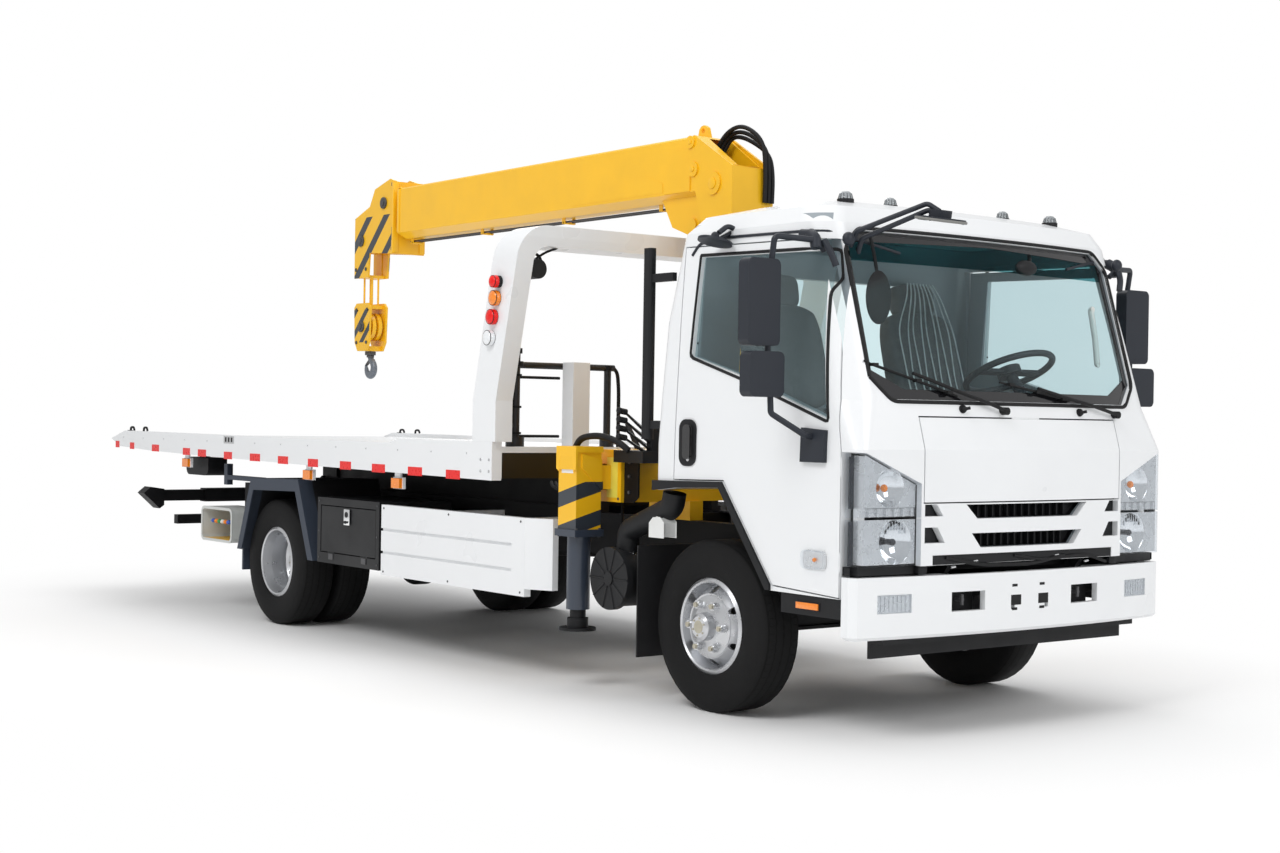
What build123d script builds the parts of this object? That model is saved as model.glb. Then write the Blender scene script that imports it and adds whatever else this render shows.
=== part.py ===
from build123d import *
import math
import os

# Flatbed tow truck with a slewing crane behind the cab.
# Working frame: X forward from the front axle, Y to the truck's left, Z up from the road, millimetres.
# The finished nodes are moved along X so that the origin is at the bottom centre of the whole truck.

# Running gear
wheelbase = 4175
rear_axle_x = -wheelbase
tyre_radius = 398
tyre_width = 233
bead_radius = 222
rim_lip_radius = 236
rim_half_width = 100
front_wheel_y = 840
rear_outer_wheel_y = 955
rear_inner_wheel_y = 695
disc_thickness = 12
stud_circle = 222.25
stud_count = 6
kingpin_y = 735
kingpin_radius = 18
spindle_radius = 35
rear_spindle_radius = 48
running_gap = 0.1
seat_gap = 0.3
moving_gap = 6

# Chassis frame
rail_outer_y = 425
rail_flange = 75
rail_web = 8
rail_low = 610
rail_top = 830
rail_front_x = 965
rail_rear_x = rear_axle_x - 1775
crossmember_xs = (900, -1500, rear_axle_x + 1475, rear_axle_x + 475, rear_axle_x - 725)

# Cab
cab_half_width = 1020
cab_reach = cab_half_width + 80
cab_wall = 55
cab_rear_x = -330
cab_floor = 1012
cab_roof = 2325
belt_z = 1440
tilt_x = 1022
tilt_z = 766
tilt_pin_radius = 12
door_front_x = 928
door_rear_x = -179
door_low = 613
door_top = 2145
door_gap = 6
door_thickness = 62
door_hinge_y = cab_half_width - 3
glass_thickness = 6
lid_half_width = 650
lid_low = 1012
lid_top = 1373
lid_hinge_x = 1047.5
arch_points = ((-340, 1012), (-172, 1028), (152, 1041), (481, 609), (934, 606), (938, 742))

# Bumper
bumper_low = 436
bumper_top = 700
bumper_front_x = 1091
bumper_side_x = 945
bumper_wall = 30

# Wheel lift
lift_pivot_x = rail_rear_x + 300
lift_sleeve_rear_x = rail_rear_x - 300
lift_bar_x = rail_rear_x - 550
lift_z = 718
lift_half = 52

# Bed
bed_half_width = 1150
bed_front_x = -1535
bed_rear_x = rear_axle_x - 2550
bed_top = 1190
deck_top = 1168
bed_rail_low = 1013
bed_rail_width = 60
bed_runner_y = 400
bed_runner_width = 70
bed_runner_low = 1015
tail_ramp_x = bed_rear_x + 258
bed_rail_points = ((bed_front_x, bed_rail_low), (rear_axle_x + 1700, 1021), (rear_axle_x + 488, 1032),
                   (rear_axle_x - 975, 1049), (bed_rear_x + 724, 1063), (bed_rear_x + 167, 1083))
arch_foot = 1215
bed_cross_pitch = 430
tail_lamp_cross = 9
foot_plate_top = deck_top + 8
stand_x = -1690
post_y = -570
stand_outer_y = -905
stand_inner_y = -294

# Arch over the front of the bed
arch_width = 220
arch_thickness = 105
arch_knee_z = 1430
arch_bar_z = 2335
arch_bar_front_x = -1290
arch_corner = 165

# Tilting subframe under the bed
tilt_frame_front_x = -1560
tilt_frame_tail = 45
bed_pivot_x = rear_axle_x - 525
bed_pivot_z = 880
bed_pivot_radius = 25

# Crane
slew_x = -957
base_half_length = 143
base_low = 928
base_top = 1190
base_half_width = 850
leg_y = 1000
leg_half = 76
leg_top = 1200
leg_low = 792
collar_half = 88
leg_tube_radius = 59
leg_tube_low = 392
jack_radius = 40
jack_low = 287
foot_radius = 92
turntable_top = 1330
boom_low = 2540
boom_side_low = 2575
boom_top = 2875
boom_half_width = 122
boom_head_x = -4330
boom_pin = (-980, 2600)
luff_pin = (-1222, 2400)
luff_base = (-1110, 1440)
head_pin = (-4890, 2560)
head_front_x = -829
head_plate = 16
boom_root_x = -905
boom_wall = 12
section_step = 19
beam_half = 60

# Side boxes, guards and the control box
toolbox_x = (rear_axle_x + 672, rear_axle_x + 1422)
toolbox_z = (450, 843)
toolbox_inner_y = 640
toolbox_face_y = 1120
toolbox_wall = 12
guard_x = (toolbox_x[1] + 25, -1263)
guard_z = (430, 832)
guard_thickness = 40
mudguard_thickness = 8
control_x = (rear_axle_x - 1155, rear_axle_x - 675)
control_z = (470, 700)
control_face_y = 1050
control_inner_y = 800

nodes = {}


def add(name, *shapes):
    """Store the solids of one named piece."""
    solids = nodes.setdefault(name, [])
    for shape in shapes:
        solids.extend(shape.solids())


def block(x, y, z):
    """Box between low and high corners, each given as a pair."""
    size = [abs(pair[1] - pair[0]) for pair in (x, y, z)]
    centre = [(pair[0] + pair[1]) / 2 for pair in (x, y, z)]
    return Pos(*centre) * Box(*size)


def across(points, y_low, y_high):
    """Side outline of (x, z) points, extruded across the truck."""
    plane = Plane(origin=(0, y_high, 0), x_dir=(1, 0, 0), z_dir=(0, -1, 0))
    return extrude(plane * make_face(Polyline(*points, close=True)), y_high - y_low)


def along(points, x_low, x_high):
    """Front outline of (y, z) points, extruded along the truck."""
    plane = Plane(origin=(x_low, 0, 0), x_dir=(0, 1, 0), z_dir=(1, 0, 0))
    return extrude(plane * make_face(Polyline(*points, close=True)), x_high - x_low)


def upright(points, z_low, z_high):
    """Plan outline of (x, y) points, extruded upwards."""
    return extrude(Plane.XY.offset(z_low) * make_face(Polyline(*points, close=True)), z_high - z_low)


def rod(start, end, radius):
    """Round bar between two points."""
    start, end = Vector(*start), Vector(*end)
    line = end - start
    plane = Plane(origin=start, z_dir=line)
    return extrude(plane * Circle(radius), line.length)


def bent_tube(points, radius, bend):
    """Round tube along straight runs joined by bends of one radius."""
    path = FilletPolyline(*points, radius=bend)
    start = Plane(origin=path @ 0, z_dir=path % 0)
    return sweep(start * Circle(radius), path)


def turned(points, centre_x, wheel_y, centre_z, side):
    """Revolve a (radius, outward distance) profile about a wheel's axle."""
    plane = Plane(origin=(centre_x, side * wheel_y, centre_z), x_dir=(1, 0, 0), z_dir=(0, 0, 1))
    profile = plane * make_face(Polyline(*[(r, side * d) for r, d in points], close=True))
    return revolve(profile, Axis((centre_x, 0, centre_z), (0, 1, 0)))


# Wheels

def tyre(x, wheel_y, side):
    half = tyre_width / 2
    profile = [(bead_radius, -half + 20), (rim_lip_radius + 30, -half + 4), (tyre_radius - 75, -half),
               (tyre_radius - 22, -half + 12), (tyre_radius, -half + 30),
               (tyre_radius, half - 30), (tyre_radius - 22, half - 12), (tyre_radius - 75, half),
               (rim_lip_radius + 30, half - 4), (bead_radius, half - 20)]
    return turned(profile, x, wheel_y, tyre_radius, side)


def rim_barrel(x, wheel_y, side):
    inner = bead_radius - seat_gap
    half = rim_half_width
    lip = tyre_width / 2 - 20 - seat_gap
    profile = [(inner - 14, -half), (inner, -lip), (inner, lip), (inner - 14, half + 6),
               (inner - 22, half), (inner - 34, 40), (inner - 34, -40), (inner - 22, -half)]
    return turned(profile, x, wheel_y, tyre_radius, side)


def hand_holes(x, side, count, circle, radius, y_low, y_high):
    holes = []
    for index in range(count):
        angle = math.radians(360 / count * (index + 0.5))
        cx = x + circle * math.cos(angle)
        cz = tyre_radius + circle * math.sin(angle)
        holes.append(rod((cx, side * y_low, cz), (cx, side * y_high, cz), radius))
    return holes


def studs(x, side, y_low, y_high):
    bars = []
    for index in range(stud_count):
        angle = math.radians(360 / stud_count * index)
        cx = x + stud_circle / 2 * math.cos(angle)
        cz = tyre_radius + stud_circle / 2 * math.sin(angle)
        bars.append(rod((cx, side * y_low, cz), (cx, side * y_high, cz), 17))
    return bars


def front_rim(side):
    inner = bead_radius - 34
    disc = [(0, 62), (150, 98), (inner + 6, 30), (inner + 6, 16), (150, 84), (60, 84), (60, 40), (0, 40)]
    nose = [(0, 40), (0, 168), (48, 168), (62, 158), (66, 118), (100, 112), (142, 98), (142, 84), (60, 40)]
    wheel = rim_barrel(0, front_wheel_y, side)
    wheel += turned(disc, 0, front_wheel_y, tyre_radius, side)
    wheel += turned(nose, 0, front_wheel_y, tyre_radius, side)
    for stud in studs(0, side, front_wheel_y + 90, front_wheel_y + 138):
        wheel += stud
    for hole in hand_holes(0, side, 6, 166, 17, front_wheel_y, front_wheel_y + 120):
        wheel -= hole
    socket = rod((0, side * (front_wheel_y - 5), tyre_radius), (0, side * (front_wheel_y + 110), tyre_radius),
                 spindle_radius + running_gap)
    return wheel - socket


def rear_rims(side):
    mid = (rear_outer_wheel_y + rear_inner_wheel_y) / 2
    inner = bead_radius - 34
    wheel = rim_barrel(rear_axle_x, rear_outer_wheel_y, side)
    wheel += rim_barrel(rear_axle_x, rear_inner_wheel_y, side)
    bowl = [(60, -disc_thickness), (60, disc_thickness), (142, disc_thickness), (inner + 6, 70),
            (inner + 6, 54), (150, 0), (inner + 6, -54), (inner + 6, -70), (142, -disc_thickness)]
    wheel += turned(bowl, rear_axle_x, mid, tyre_radius, side)
    hub = [(0, -70), (0, 118), (52, 118), (64, 108), (70, 40), (108, 34), (108, 0), (86, -70)]
    wheel += turned(hub, rear_axle_x, mid, tyre_radius, side)
    for stud in studs(rear_axle_x, side, mid, mid + 58):
        wheel += stud
    for hole in hand_holes(rear_axle_x, side, 6, 166, 19, mid - 80, mid + 80):
        wheel -= hole
    socket = rod((rear_axle_x, side * (mid - 90), tyre_radius), (rear_axle_x, side * (mid + 60), tyre_radius),
                 rear_spindle_radius + running_gap)
    return wheel - socket


def wheels():
    for side, word in ((-1, "right"), (1, "left")):
        add(f"tyre_front_{word}", tyre(0, front_wheel_y, side))
        add(f"rim_front_{word}", front_rim(side))
        add(f"tyres_rear_{word}", tyre(rear_axle_x, rear_outer_wheel_y, side),
            tyre(rear_axle_x, rear_inner_wheel_y, side))
        add(f"rims_rear_{word}", rear_rims(side))


# Axles, knuckles and springs

def knuckle(side):
    ear_top = tyre_radius + 62
    ear_low = tyre_radius - 62
    body = rod((0, side * kingpin_y, ear_top + seat_gap), (0, side * kingpin_y, ear_top + 30), 40)
    body += rod((0, side * kingpin_y, ear_low - 30), (0, side * kingpin_y, ear_low - seat_gap), 40)
    wall = sorted((side * (kingpin_y + 43), side * (kingpin_y + 62)))
    body += block((-45, 45), wall, (ear_low - 30, ear_top + 30))
    for low, high in ((ear_top + seat_gap, ear_top + 30), (ear_low - 30, ear_low - seat_gap)):
        body += block((-38, 38), sorted((side * kingpin_y, side * (kingpin_y + 50))), (low, high))
    body += rod((0, side * (kingpin_y + 55), tyre_radius), (0, side * (front_wheel_y + 100), tyre_radius),
                spindle_radius)
    body += rod((0, side * (kingpin_y + 62), tyre_radius), (0, side * (front_wheel_y - 12), tyre_radius), 160)
    body += block((-165, -30), sorted((side * (kingpin_y - 55), side * (kingpin_y - 5))),
                  (ear_low - 30, ear_low - 8))
    pin_hole = rod((0, side * kingpin_y, ear_low - 60), (0, side * kingpin_y, ear_top + 60),
                   kingpin_radius + running_gap)
    return body - pin_hole


def front_axle():
    beam = block((-42, 42), (-kingpin_y, kingpin_y), (tyre_radius - 45, tyre_radius + 45))
    beam -= block((-42, -14), (-kingpin_y + 90, kingpin_y - 90), (tyre_radius - 30, tyre_radius + 30))
    beam -= block((14, 42), (-kingpin_y + 90, kingpin_y - 90), (tyre_radius - 30, tyre_radius + 30))
    for side in (-1, 1):
        beam -= block((-60, 60), sorted((side * (kingpin_y - 15), side * (kingpin_y + 60))), (300, 500))
        beam += rod((0, side * kingpin_y, tyre_radius - 62), (0, side * kingpin_y, tyre_radius + 62), 36)
        beam += rod((0, side * kingpin_y, tyre_radius - 90), (0, side * kingpin_y, tyre_radius + 90),
                    kingpin_radius)
    return beam


def rear_axle():
    tube = rod((rear_axle_x, -600, tyre_radius), (rear_axle_x, 600, tyre_radius), 62)
    case = rod((rear_axle_x, -95, tyre_radius), (rear_axle_x, 95, tyre_radius), 190)
    case = fillet(case.edges().filter_by(GeomType.CIRCLE), 60)
    housing = tube + case
    for side in (-1, 1):
        housing += rod((rear_axle_x, side * 590, tyre_radius), (rear_axle_x, side * 742, tyre_radius), 160)
        housing += rod((rear_axle_x, side * 740, tyre_radius),
                       (rear_axle_x, side * (rear_inner_wheel_y + 184), tyre_radius), rear_spindle_radius)
    nose = (rear_axle_x + 300, 0, tyre_radius + 30)
    housing += rod((rear_axle_x, 0, tyre_radius), nose, 85)
    housing += rod(nose, (rear_axle_x + 1675, 0, 560), 42)
    housing += rod((rear_axle_x + 1675, 0, 560), (-720, 0, 640), 42)
    return housing


def leaf_spring(x, y, z, half, drop, thickness, width):
    low = ThreePointArc((x - half, z), (x, z - drop), (x + half, z))
    high = ThreePointArc((x + half, z + 12), (x, z - drop + thickness), (x - half, z + 12))
    edges = [low, Line(low @ 1, high @ 0), high, Line(high @ 1, low @ 0)]
    plane = Plane(origin=(0, y + width / 2, 0), x_dir=(1, 0, 0), z_dir=(0, -1, 0))
    spring = extrude(plane * make_face(edges), width)
    for end in (x - half, x + half):
        spring += rod((end, y - width / 2, z + 6), (end, y + width / 2, z + 6), 26)
    return spring


def springs():
    front_y = rail_outer_y - 38
    for side in (-1, 1):
        spring = leaf_spring(0, side * front_y, 540, 620, 48, 46, 70)
        for x, stretch in ((-620, 60), (620, 34)):
            spring += block((x - stretch, x + stretch), (side * front_y - 30, side * front_y + 30),
                            (552, rail_low - seat_gap))
        spring += block((-70, 70), (side * front_y - 35, side * front_y + 35),
                        (tyre_radius + 45 + seat_gap, 510))
        add("leaf_springs", spring)
        rear_y = 500
        spring = leaf_spring(rear_axle_x, side * rear_y, 560, 650, 76, 60, 80)
        for x, stretch in ((rear_axle_x - 650, 50), (rear_axle_x + 650, 40)):
            low, high = sorted((side * (rail_outer_y + seat_gap), side * (rear_y + 34)))
            spring += block((x - stretch, x + stretch), (low, high), (575, 700))
        spring += block((rear_axle_x - 80, rear_axle_x + 80), (side * rear_y - 40, side * rear_y + 40),
                        (tyre_radius + 62 + seat_gap, 500))
        add("leaf_springs", spring)


# Chassis frame

def frame_rails():
    frame = None
    for side in (-1, 1):
        web = sorted((side * rail_outer_y, side * (rail_outer_y - rail_web)))
        flange = sorted((side * rail_outer_y, side * (rail_outer_y - rail_flange)))
        rail = block((rail_rear_x, rail_front_x), web, (rail_low, rail_top))
        rail += block((rail_rear_x, rail_front_x), flange, (rail_low, rail_low + rail_web))
        rail += block((rail_rear_x, rail_front_x), flange, (rail_top - rail_web, rail_top))
        frame = rail if frame is None else frame + rail
    reach = rail_outer_y - rail_web
    for x in crossmember_xs:
        frame += block((x - 35, x + 35), (-reach, reach), (rail_top - 125, rail_top - rail_web))
    end_plate = block((rail_rear_x - 20, rail_rear_x), (-rail_outer_y, rail_outer_y), (rail_low, rail_top))
    frame += end_plate - block((rail_rear_x - 30, rail_rear_x + 10), (-95, 95), (rail_low - 10, rail_top - 35))
    for side in (-1, 1):
        ear = sorted((side * (rail_outer_y + 2), side * (rail_outer_y + 32)))
        lug = across([(870, 640), (945, 640), (tilt_x + 20, tilt_z - 4), (tilt_x + 18, tilt_z + 18),
                      (tilt_x - 18, tilt_z + 20), (880, 730)], *ear)
        lug += block((870, 960), sorted((side * (rail_outer_y - 4), side * (rail_outer_y + 10))), (650, 730))
        lug -= rod((tilt_x, side * 400, tilt_z), (tilt_x, side * 480, tilt_z), tilt_pin_radius + running_gap)
        frame += lug
    frame += bed_hinge_lugs()
    for side in (-1, 1):
        y = sorted((side * (lift_half + 8), side * (lift_half + 26)))
        frame += across([(lift_pivot_x - 60, lift_z - 40), (lift_pivot_x + 60, lift_z - 40),
                         (lift_pivot_x + 60, rail_top - rail_web), (lift_pivot_x - 60, rail_top - rail_web)], *y)
    frame += block((lift_pivot_x + 5, lift_pivot_x + 75), (-reach, reach), (rail_top - 42, rail_top - rail_web))
    frame += rod((lift_pivot_x, -lift_half - 20, lift_z), (lift_pivot_x, lift_half + 20, lift_z), 20)
    return frame


def engine():
    body = block((-640, 330), (-275, 275), (520, 960))
    body = chamfer(body.edges().filter_by(Axis.X), 60)
    reach = rail_outer_y - rail_web - seat_gap
    for x in (-480, 180):
        body += block((x - 40, x + 40), (-reach, reach), (700, 760))
    return body


def front_bumper():
    front = ThreePointArc((bumper_side_x + 75, -cab_half_width + 22), (bumper_front_x, 0),
                          (bumper_side_x + 75, cab_half_width - 22))
    left = Polyline(front @ 1, (bumper_side_x + 40, cab_half_width), (bumper_side_x, cab_half_width),
                    (bumper_side_x, -cab_half_width), (bumper_side_x + 40, -cab_half_width), front @ 0)
    plan = make_face([front] + list(left.edges()))
    shell = extrude(Plane.XY.offset(bumper_low) * plan, bumper_top - bumper_low)
    shell = chamfer(shell.edges().group_by(Axis.Z)[0], 14)
    hollow = offset(plan, -bumper_wall)
    shell -= extrude(Plane.XY.offset(bumper_low - 10) * hollow, bumper_top - bumper_low - 20)
    reach = cab_half_width - 35
    shell -= block((900, bumper_side_x + 40), (-reach, reach), (bumper_low - 10, bumper_top + 10))
    shell -= block((900, 1050), (-480, 480), (bumper_top - 40, bumper_top + 10))
    for side in (-1, 1):
        shell -= block((1000, 1120), sorted((side * 288, side * 488)), (541, 625))
        shell -= block((1000, 1120), sorted((side * 712, side * 896)), (547, 626))
        for index in range(2):
            shell -= block((1050, 1120), sorted((side * (100 + 8 * index), side * 124)),
                           (535 + 34 * index, 560 + 34 * index))
        shell += block((rail_front_x + seat_gap, 1058), sorted((side * 352, side * 424)), (636, 690))
    for side in (-1, 1):
        shell += fog_backing(side, 708, 900)
    return shell


def fog_backing(side, y_low, y_high):
    """Wall behind a fog lamp's opening, which follows the bumper's front."""
    points = []
    for y in (y_low, (y_low + y_high) / 2, y_high):
        points.append((bumper_front_x - 71 * (y / 998) ** 2 - 12, side * y))
    return upright(points + [(points[-1][0] - 22, points[-1][1]), (points[0][0] - 22, points[0][1])], 540, 632)


def air_dam():
    dam = along([(-835, 345), (835, 345), (835, 434), (-835, 434)], 917, 935)
    dam += block((917, 1010), (-835, 835), (410, 434))
    for side in (-1, 1):
        dam += block((880, 935), sorted((side * 380, side * 410)), (400, rail_low - seat_gap))
    return dam


def fuel_tank():
    tank = block((-1900, -1150), (rail_outer_y + 45, 960), (420, 762))
    tank = fillet(tank.edges().filter_by(Axis.X), 60)
    for x in (-1750, -1300):
        tank += block((x - 20, x + 20), (rail_outer_y + seat_gap, rail_outer_y + 60), (450, 750))
    battery = block((-2300, -1980), (rail_outer_y + 45, 900), (480, 760))
    battery += block((-2200, -2080), (rail_outer_y + seat_gap, rail_outer_y + 60), (500, 750))
    return tank, battery


# Body-side pieces


def toolbox(side):
    y = sorted((side * toolbox_inner_y, side * toolbox_face_y))
    inner = sorted((side * (toolbox_inner_y + toolbox_wall), side * (toolbox_face_y + 10)))
    box = block(toolbox_x, y, toolbox_z)
    box -= block((toolbox_x[0] + toolbox_wall, toolbox_x[1] - toolbox_wall), inner,
                 (toolbox_z[0] + toolbox_wall, toolbox_z[1] - toolbox_wall))
    for x in (toolbox_x[0] + 80, toolbox_x[1] - 80):
        box += block((x - 30, x + 30), sorted((side * (rail_outer_y + seat_gap), side * (toolbox_inner_y + 4))),
                     (660, 760))
    rim_low, rim_high = toolbox_z[0] + 62, toolbox_z[1] - 45
    frame = block(toolbox_x, sorted((side * (toolbox_face_y - 20), side * toolbox_face_y)), toolbox_z)
    frame -= block((toolbox_x[0] + 40, toolbox_x[1] - 40), inner, (rim_low, rim_high))
    return box + frame


def toolbox_door(side):
    gap = door_gap
    rim_low, rim_high = toolbox_z[0] + 62, toolbox_z[1] - 45
    x = (toolbox_x[0] + 40 + gap, toolbox_x[1] - 40 - gap)
    door = block(x, sorted((side * (toolbox_face_y - 14), side * (toolbox_face_y - 2))),
                 (rim_low + gap, rim_high - gap))
    centre = (x[0] + x[1]) / 2
    for offset in (-200, 200):
        hinge_z = rim_low + gap / 2
        door += rod((centre + offset - 40, side * (toolbox_face_y - 1), hinge_z),
                    (centre + offset + 40, side * (toolbox_face_y - 1), hinge_z), gap / 2 - seat_gap)
    door += block((centre - 30, centre + 30), sorted((side * (toolbox_face_y - 4), side * (toolbox_face_y + 8))),
                  (rim_high - 95, rim_high - 20))
    return door


def side_guard(side):
    face = toolbox_face_y
    panel = block(guard_x, sorted((side * (face - guard_thickness), side * face)), guard_z)
    for z in (690, 560):
        groove = block((guard_x[0] - 10, guard_x[1] - 120), sorted((side * (face - 12), side * (face + 10))),
                       (z - 8, z + 8))
        panel -= groove
    nose = upright([(guard_x[1] - 1, side * face), (guard_x[1] + 150, side * (face - 70)),
                    (guard_x[1] + 150, side * (face - 105)), (guard_x[1] - 1, side * (face - guard_thickness))],
                   guard_z[0] + 40, guard_z[1])
    panel += nose
    for x in (guard_x[0] + 200, guard_x[1] - 500):
        y = sorted((side * (rail_outer_y + seat_gap), side * (face - guard_thickness + 4)))
        panel += block((x - 25, x + 25), y, (770, 800))
    return panel


def rear_mudguard(side):
    t = mudguard_thickness
    rear, front = rear_axle_x - 425, rear_axle_x + 615
    outer = [(rear, 455), (rear + 188, 915), (front - 208, 930), (front, 450), (front + t, 450),
             (front - 203, 930 + t), (rear + 183, 915 + t), (rear - t, 455)]
    guard = across(outer, *sorted((side * 560, side * 1125)))
    inner = [(rear, 455), (rear + 188, 915), (front - 208, 930), (front, 450), (front - 60, 450),
             (front - 240, 862), (rear + 215, 848), (rear + 55, 455)]
    guard += across(inner, *sorted((side * (1125 - t), side * 1125)))
    for x in (rear + 300, front - 340):
        guard += block((x - 25, x + 25), sorted((side * (rail_outer_y + seat_gap), side * 565)), (780, 815))
        guard += block((x - 25, x + 25), sorted((side * 552, side * 566)), (780, 930))
    if side < 0:
        guard += block((rear - 360, rear + 190), (-1060, -1020), (895, 925))
        guard += block((rear - 360, rear - 310), (-1060, -1020), (860, 1000))
    flap = block((rear - 3 * t, rear + 2 - t), sorted((side * 575, side * 1080)), (315, 620))
    flap += block((rear - 3 * t, rear + 40), sorted((side * 575, side * 1080)), (545, 560))
    return guard + flap


# Bed and its tilting subframe

def bed_cross_x(index):
    """Place of one crossmember under the deck, counted from the front."""
    return bed_front_x - 60 - index * bed_cross_pitch


def bed_deck():
    side_outline = list(bed_rail_points) + [(bed_rear_x, 1139), (tail_ramp_x, 1199), (bed_front_x - 1065, bed_top),
                                            (bed_front_x - 965, arch_foot), (bed_front_x, arch_foot)]
    deck = None
    for side in (-1, 1):
        y = sorted((side * bed_half_width, side * (bed_half_width - bed_rail_width)))
        rail = across(side_outline, *y)
        deck = rail if deck is None else deck + rail
    reach = bed_half_width - bed_rail_width + 1
    plate = across([(bed_front_x, deck_top), (tail_ramp_x, deck_top), (bed_rear_x, 1135),
                    (bed_rear_x + 20, 1125), (tail_ramp_x - 10, deck_top - 12), (bed_front_x, deck_top - 12)],
                   -reach, reach)
    deck += plate
    for index in range(int((bed_front_x - tail_ramp_x) / bed_cross_pitch) + 1):
        x = bed_cross_x(index)
        deck += block((x - 25, x + 25), (-reach, reach), (bed_runner_low + 60, deck_top - 3))
    deck += block((bed_front_x - 12, bed_front_x), (-reach, reach), (bed_rail_low + 10, bed_top))
    for side in (-1, 1):
        y = sorted((side * (bed_runner_y - bed_runner_width / 2), side * (bed_runner_y + bed_runner_width / 2)))
        deck += block((bed_rear_x + 425, bed_front_x - 10), y, (bed_runner_low, deck_top - 3))
    deck += block((stand_x - 70, bed_front_x - 6), (-reach, reach), (deck_top - 2, foot_plate_top))
    return deck


def bed_rail_z(x):
    """Height of the side rail's lower edge at a place along the bed."""
    for (x_front, z_front), (x_rear, z_rear) in zip(bed_rail_points, bed_rail_points[1:]):
        if x_rear <= x <= x_front:
            return z_front + (z_rear - z_front) * (x - x_front) / (x_rear - x_front)


def bed_arch():
    half = bed_half_width
    t = arch_thickness
    top = arch_bar_z
    foot = arch_foot + seat_gap
    outline = Polyline((-half, foot), (-half, top), (half, top), (half, foot), (half - t, foot),
                       (half - t, top - t), (-half + t, top - t), (-half + t, foot), close=True)
    plane = Plane(origin=(-1900, 0, 0), x_dir=(0, 1, 0), z_dir=(1, 0, 0))
    face = make_face(outline)
    outer_corners = [v for v in face.vertices() if v.Y > top - 1]
    face = fillet(outer_corners, arch_corner)
    inner_corners = [v for v in face.vertices() if abs(v.Y - top + t) < 1 and abs(v.X) > half - t - 1]
    face = fillet(inner_corners, arch_corner - t + 20)
    hoop = extrude(plane * face, 900)
    front = arch_bar_front_x
    leg_front = -1507
    side_view = [(leg_front, 1200), (leg_front, arch_knee_z), (front - 12, top - 60), (front, top + 5),
                 (front - arch_width, top + 5), (front - arch_width - 20, top - 60),
                 (leg_front - arch_width, arch_knee_z), (leg_front - arch_width, 1200)]
    arch = hoop & across(side_view, -half - 5, half + 5)
    return arch


def arch_x(z):
    """Front edge of the arch's leg at a height."""
    low, high = (arch_knee_z, -1507), (arch_bar_z - 60, arch_bar_front_x - 12)
    share = (z - low[0]) / (high[0] - low[0])
    return low[1] + share * (high[1] - low[1])


def bed_lamps():
    lamps = []
    half = bed_half_width
    for side in (-1, 1):
        for z, radius, depth in ((2045, 32, 46), (1961, 40, 30), (1864, 40, 30), (1756, 40, 30)):
            x = arch_x(z) - 130
            lamp = rod((x, side * (half + seat_gap), z), (x, side * (half + depth), z), radius)
            lamps.append(lamp)
        for x in (rear_axle_x - 1265, rear_axle_x + 535, rear_axle_x + 1615):
            z = bed_rail_z(x)
            lamp = block((x - 45, x + 45), sorted((side * (half - 55), side * (half - 20))), (z - 90, z - 32))
            lamps.append(lamp + block((x - 30, x + 30), sorted((side * (half - 45), side * (half - 35))),
                                      (z - 40, z - 0.7)))
        x = bed_cross_x(tail_lamp_cross)
        box = block((x - 155, x + 205), sorted((side * 900, side * 1040)), (908, 1030))
        box = fillet(box.edges().filter_by(Axis.Y).group_by(Axis.Z)[0], 50)
        lamps.append(box + block((x - 20, x + 20), sorted((side * 940, side * 1000)),
                                 (1025, bed_runner_low + 60 - seat_gap)))
    y = -half + 190
    work_lamp = rod((arch_bar_front_x - 250, y, 2120), (arch_bar_front_x - 120, y, 2120), 52)
    work_lamp += rod((arch_bar_front_x - 180, y, 2120),
                     (arch_bar_front_x - 180, y, arch_bar_z - arch_thickness - seat_gap), 12)
    lamps.append(work_lamp)
    return lamps


def bed_frame():
    foot = foot_plate_top + seat_gap
    post = block((stand_x + 38, stand_x + 138), (post_y - 55, post_y + 55), (foot, 1645))
    bars = rod((stand_x, -968, 1625), (stand_x, -253, 1625), 18)
    for y, z_low, z_high, radius in ((stand_outer_y, 1236, 1700, 24), (stand_outer_y - 45, 1260, 1650, 18),
                                     (stand_inner_y, 1236, 1625, 20)):
        bars += rod((stand_x, y, z_low), (stand_x, y, z_high), radius)
    bars += rod((stand_x, stand_outer_y - 35, 1300), (stand_x, stand_outer_y, 1300), 16)
    bars += rod((stand_x, stand_outer_y, foot), (stand_x, stand_outer_y, 1240), 50)
    bars += rod((stand_x, stand_inner_y, foot), (stand_x, stand_inner_y, 1240), 40)
    bars += block((stand_x - 10, stand_x + 60), (post_y - 30, post_y + 30), (1610, 1640)) - post
    return post, bars


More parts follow.
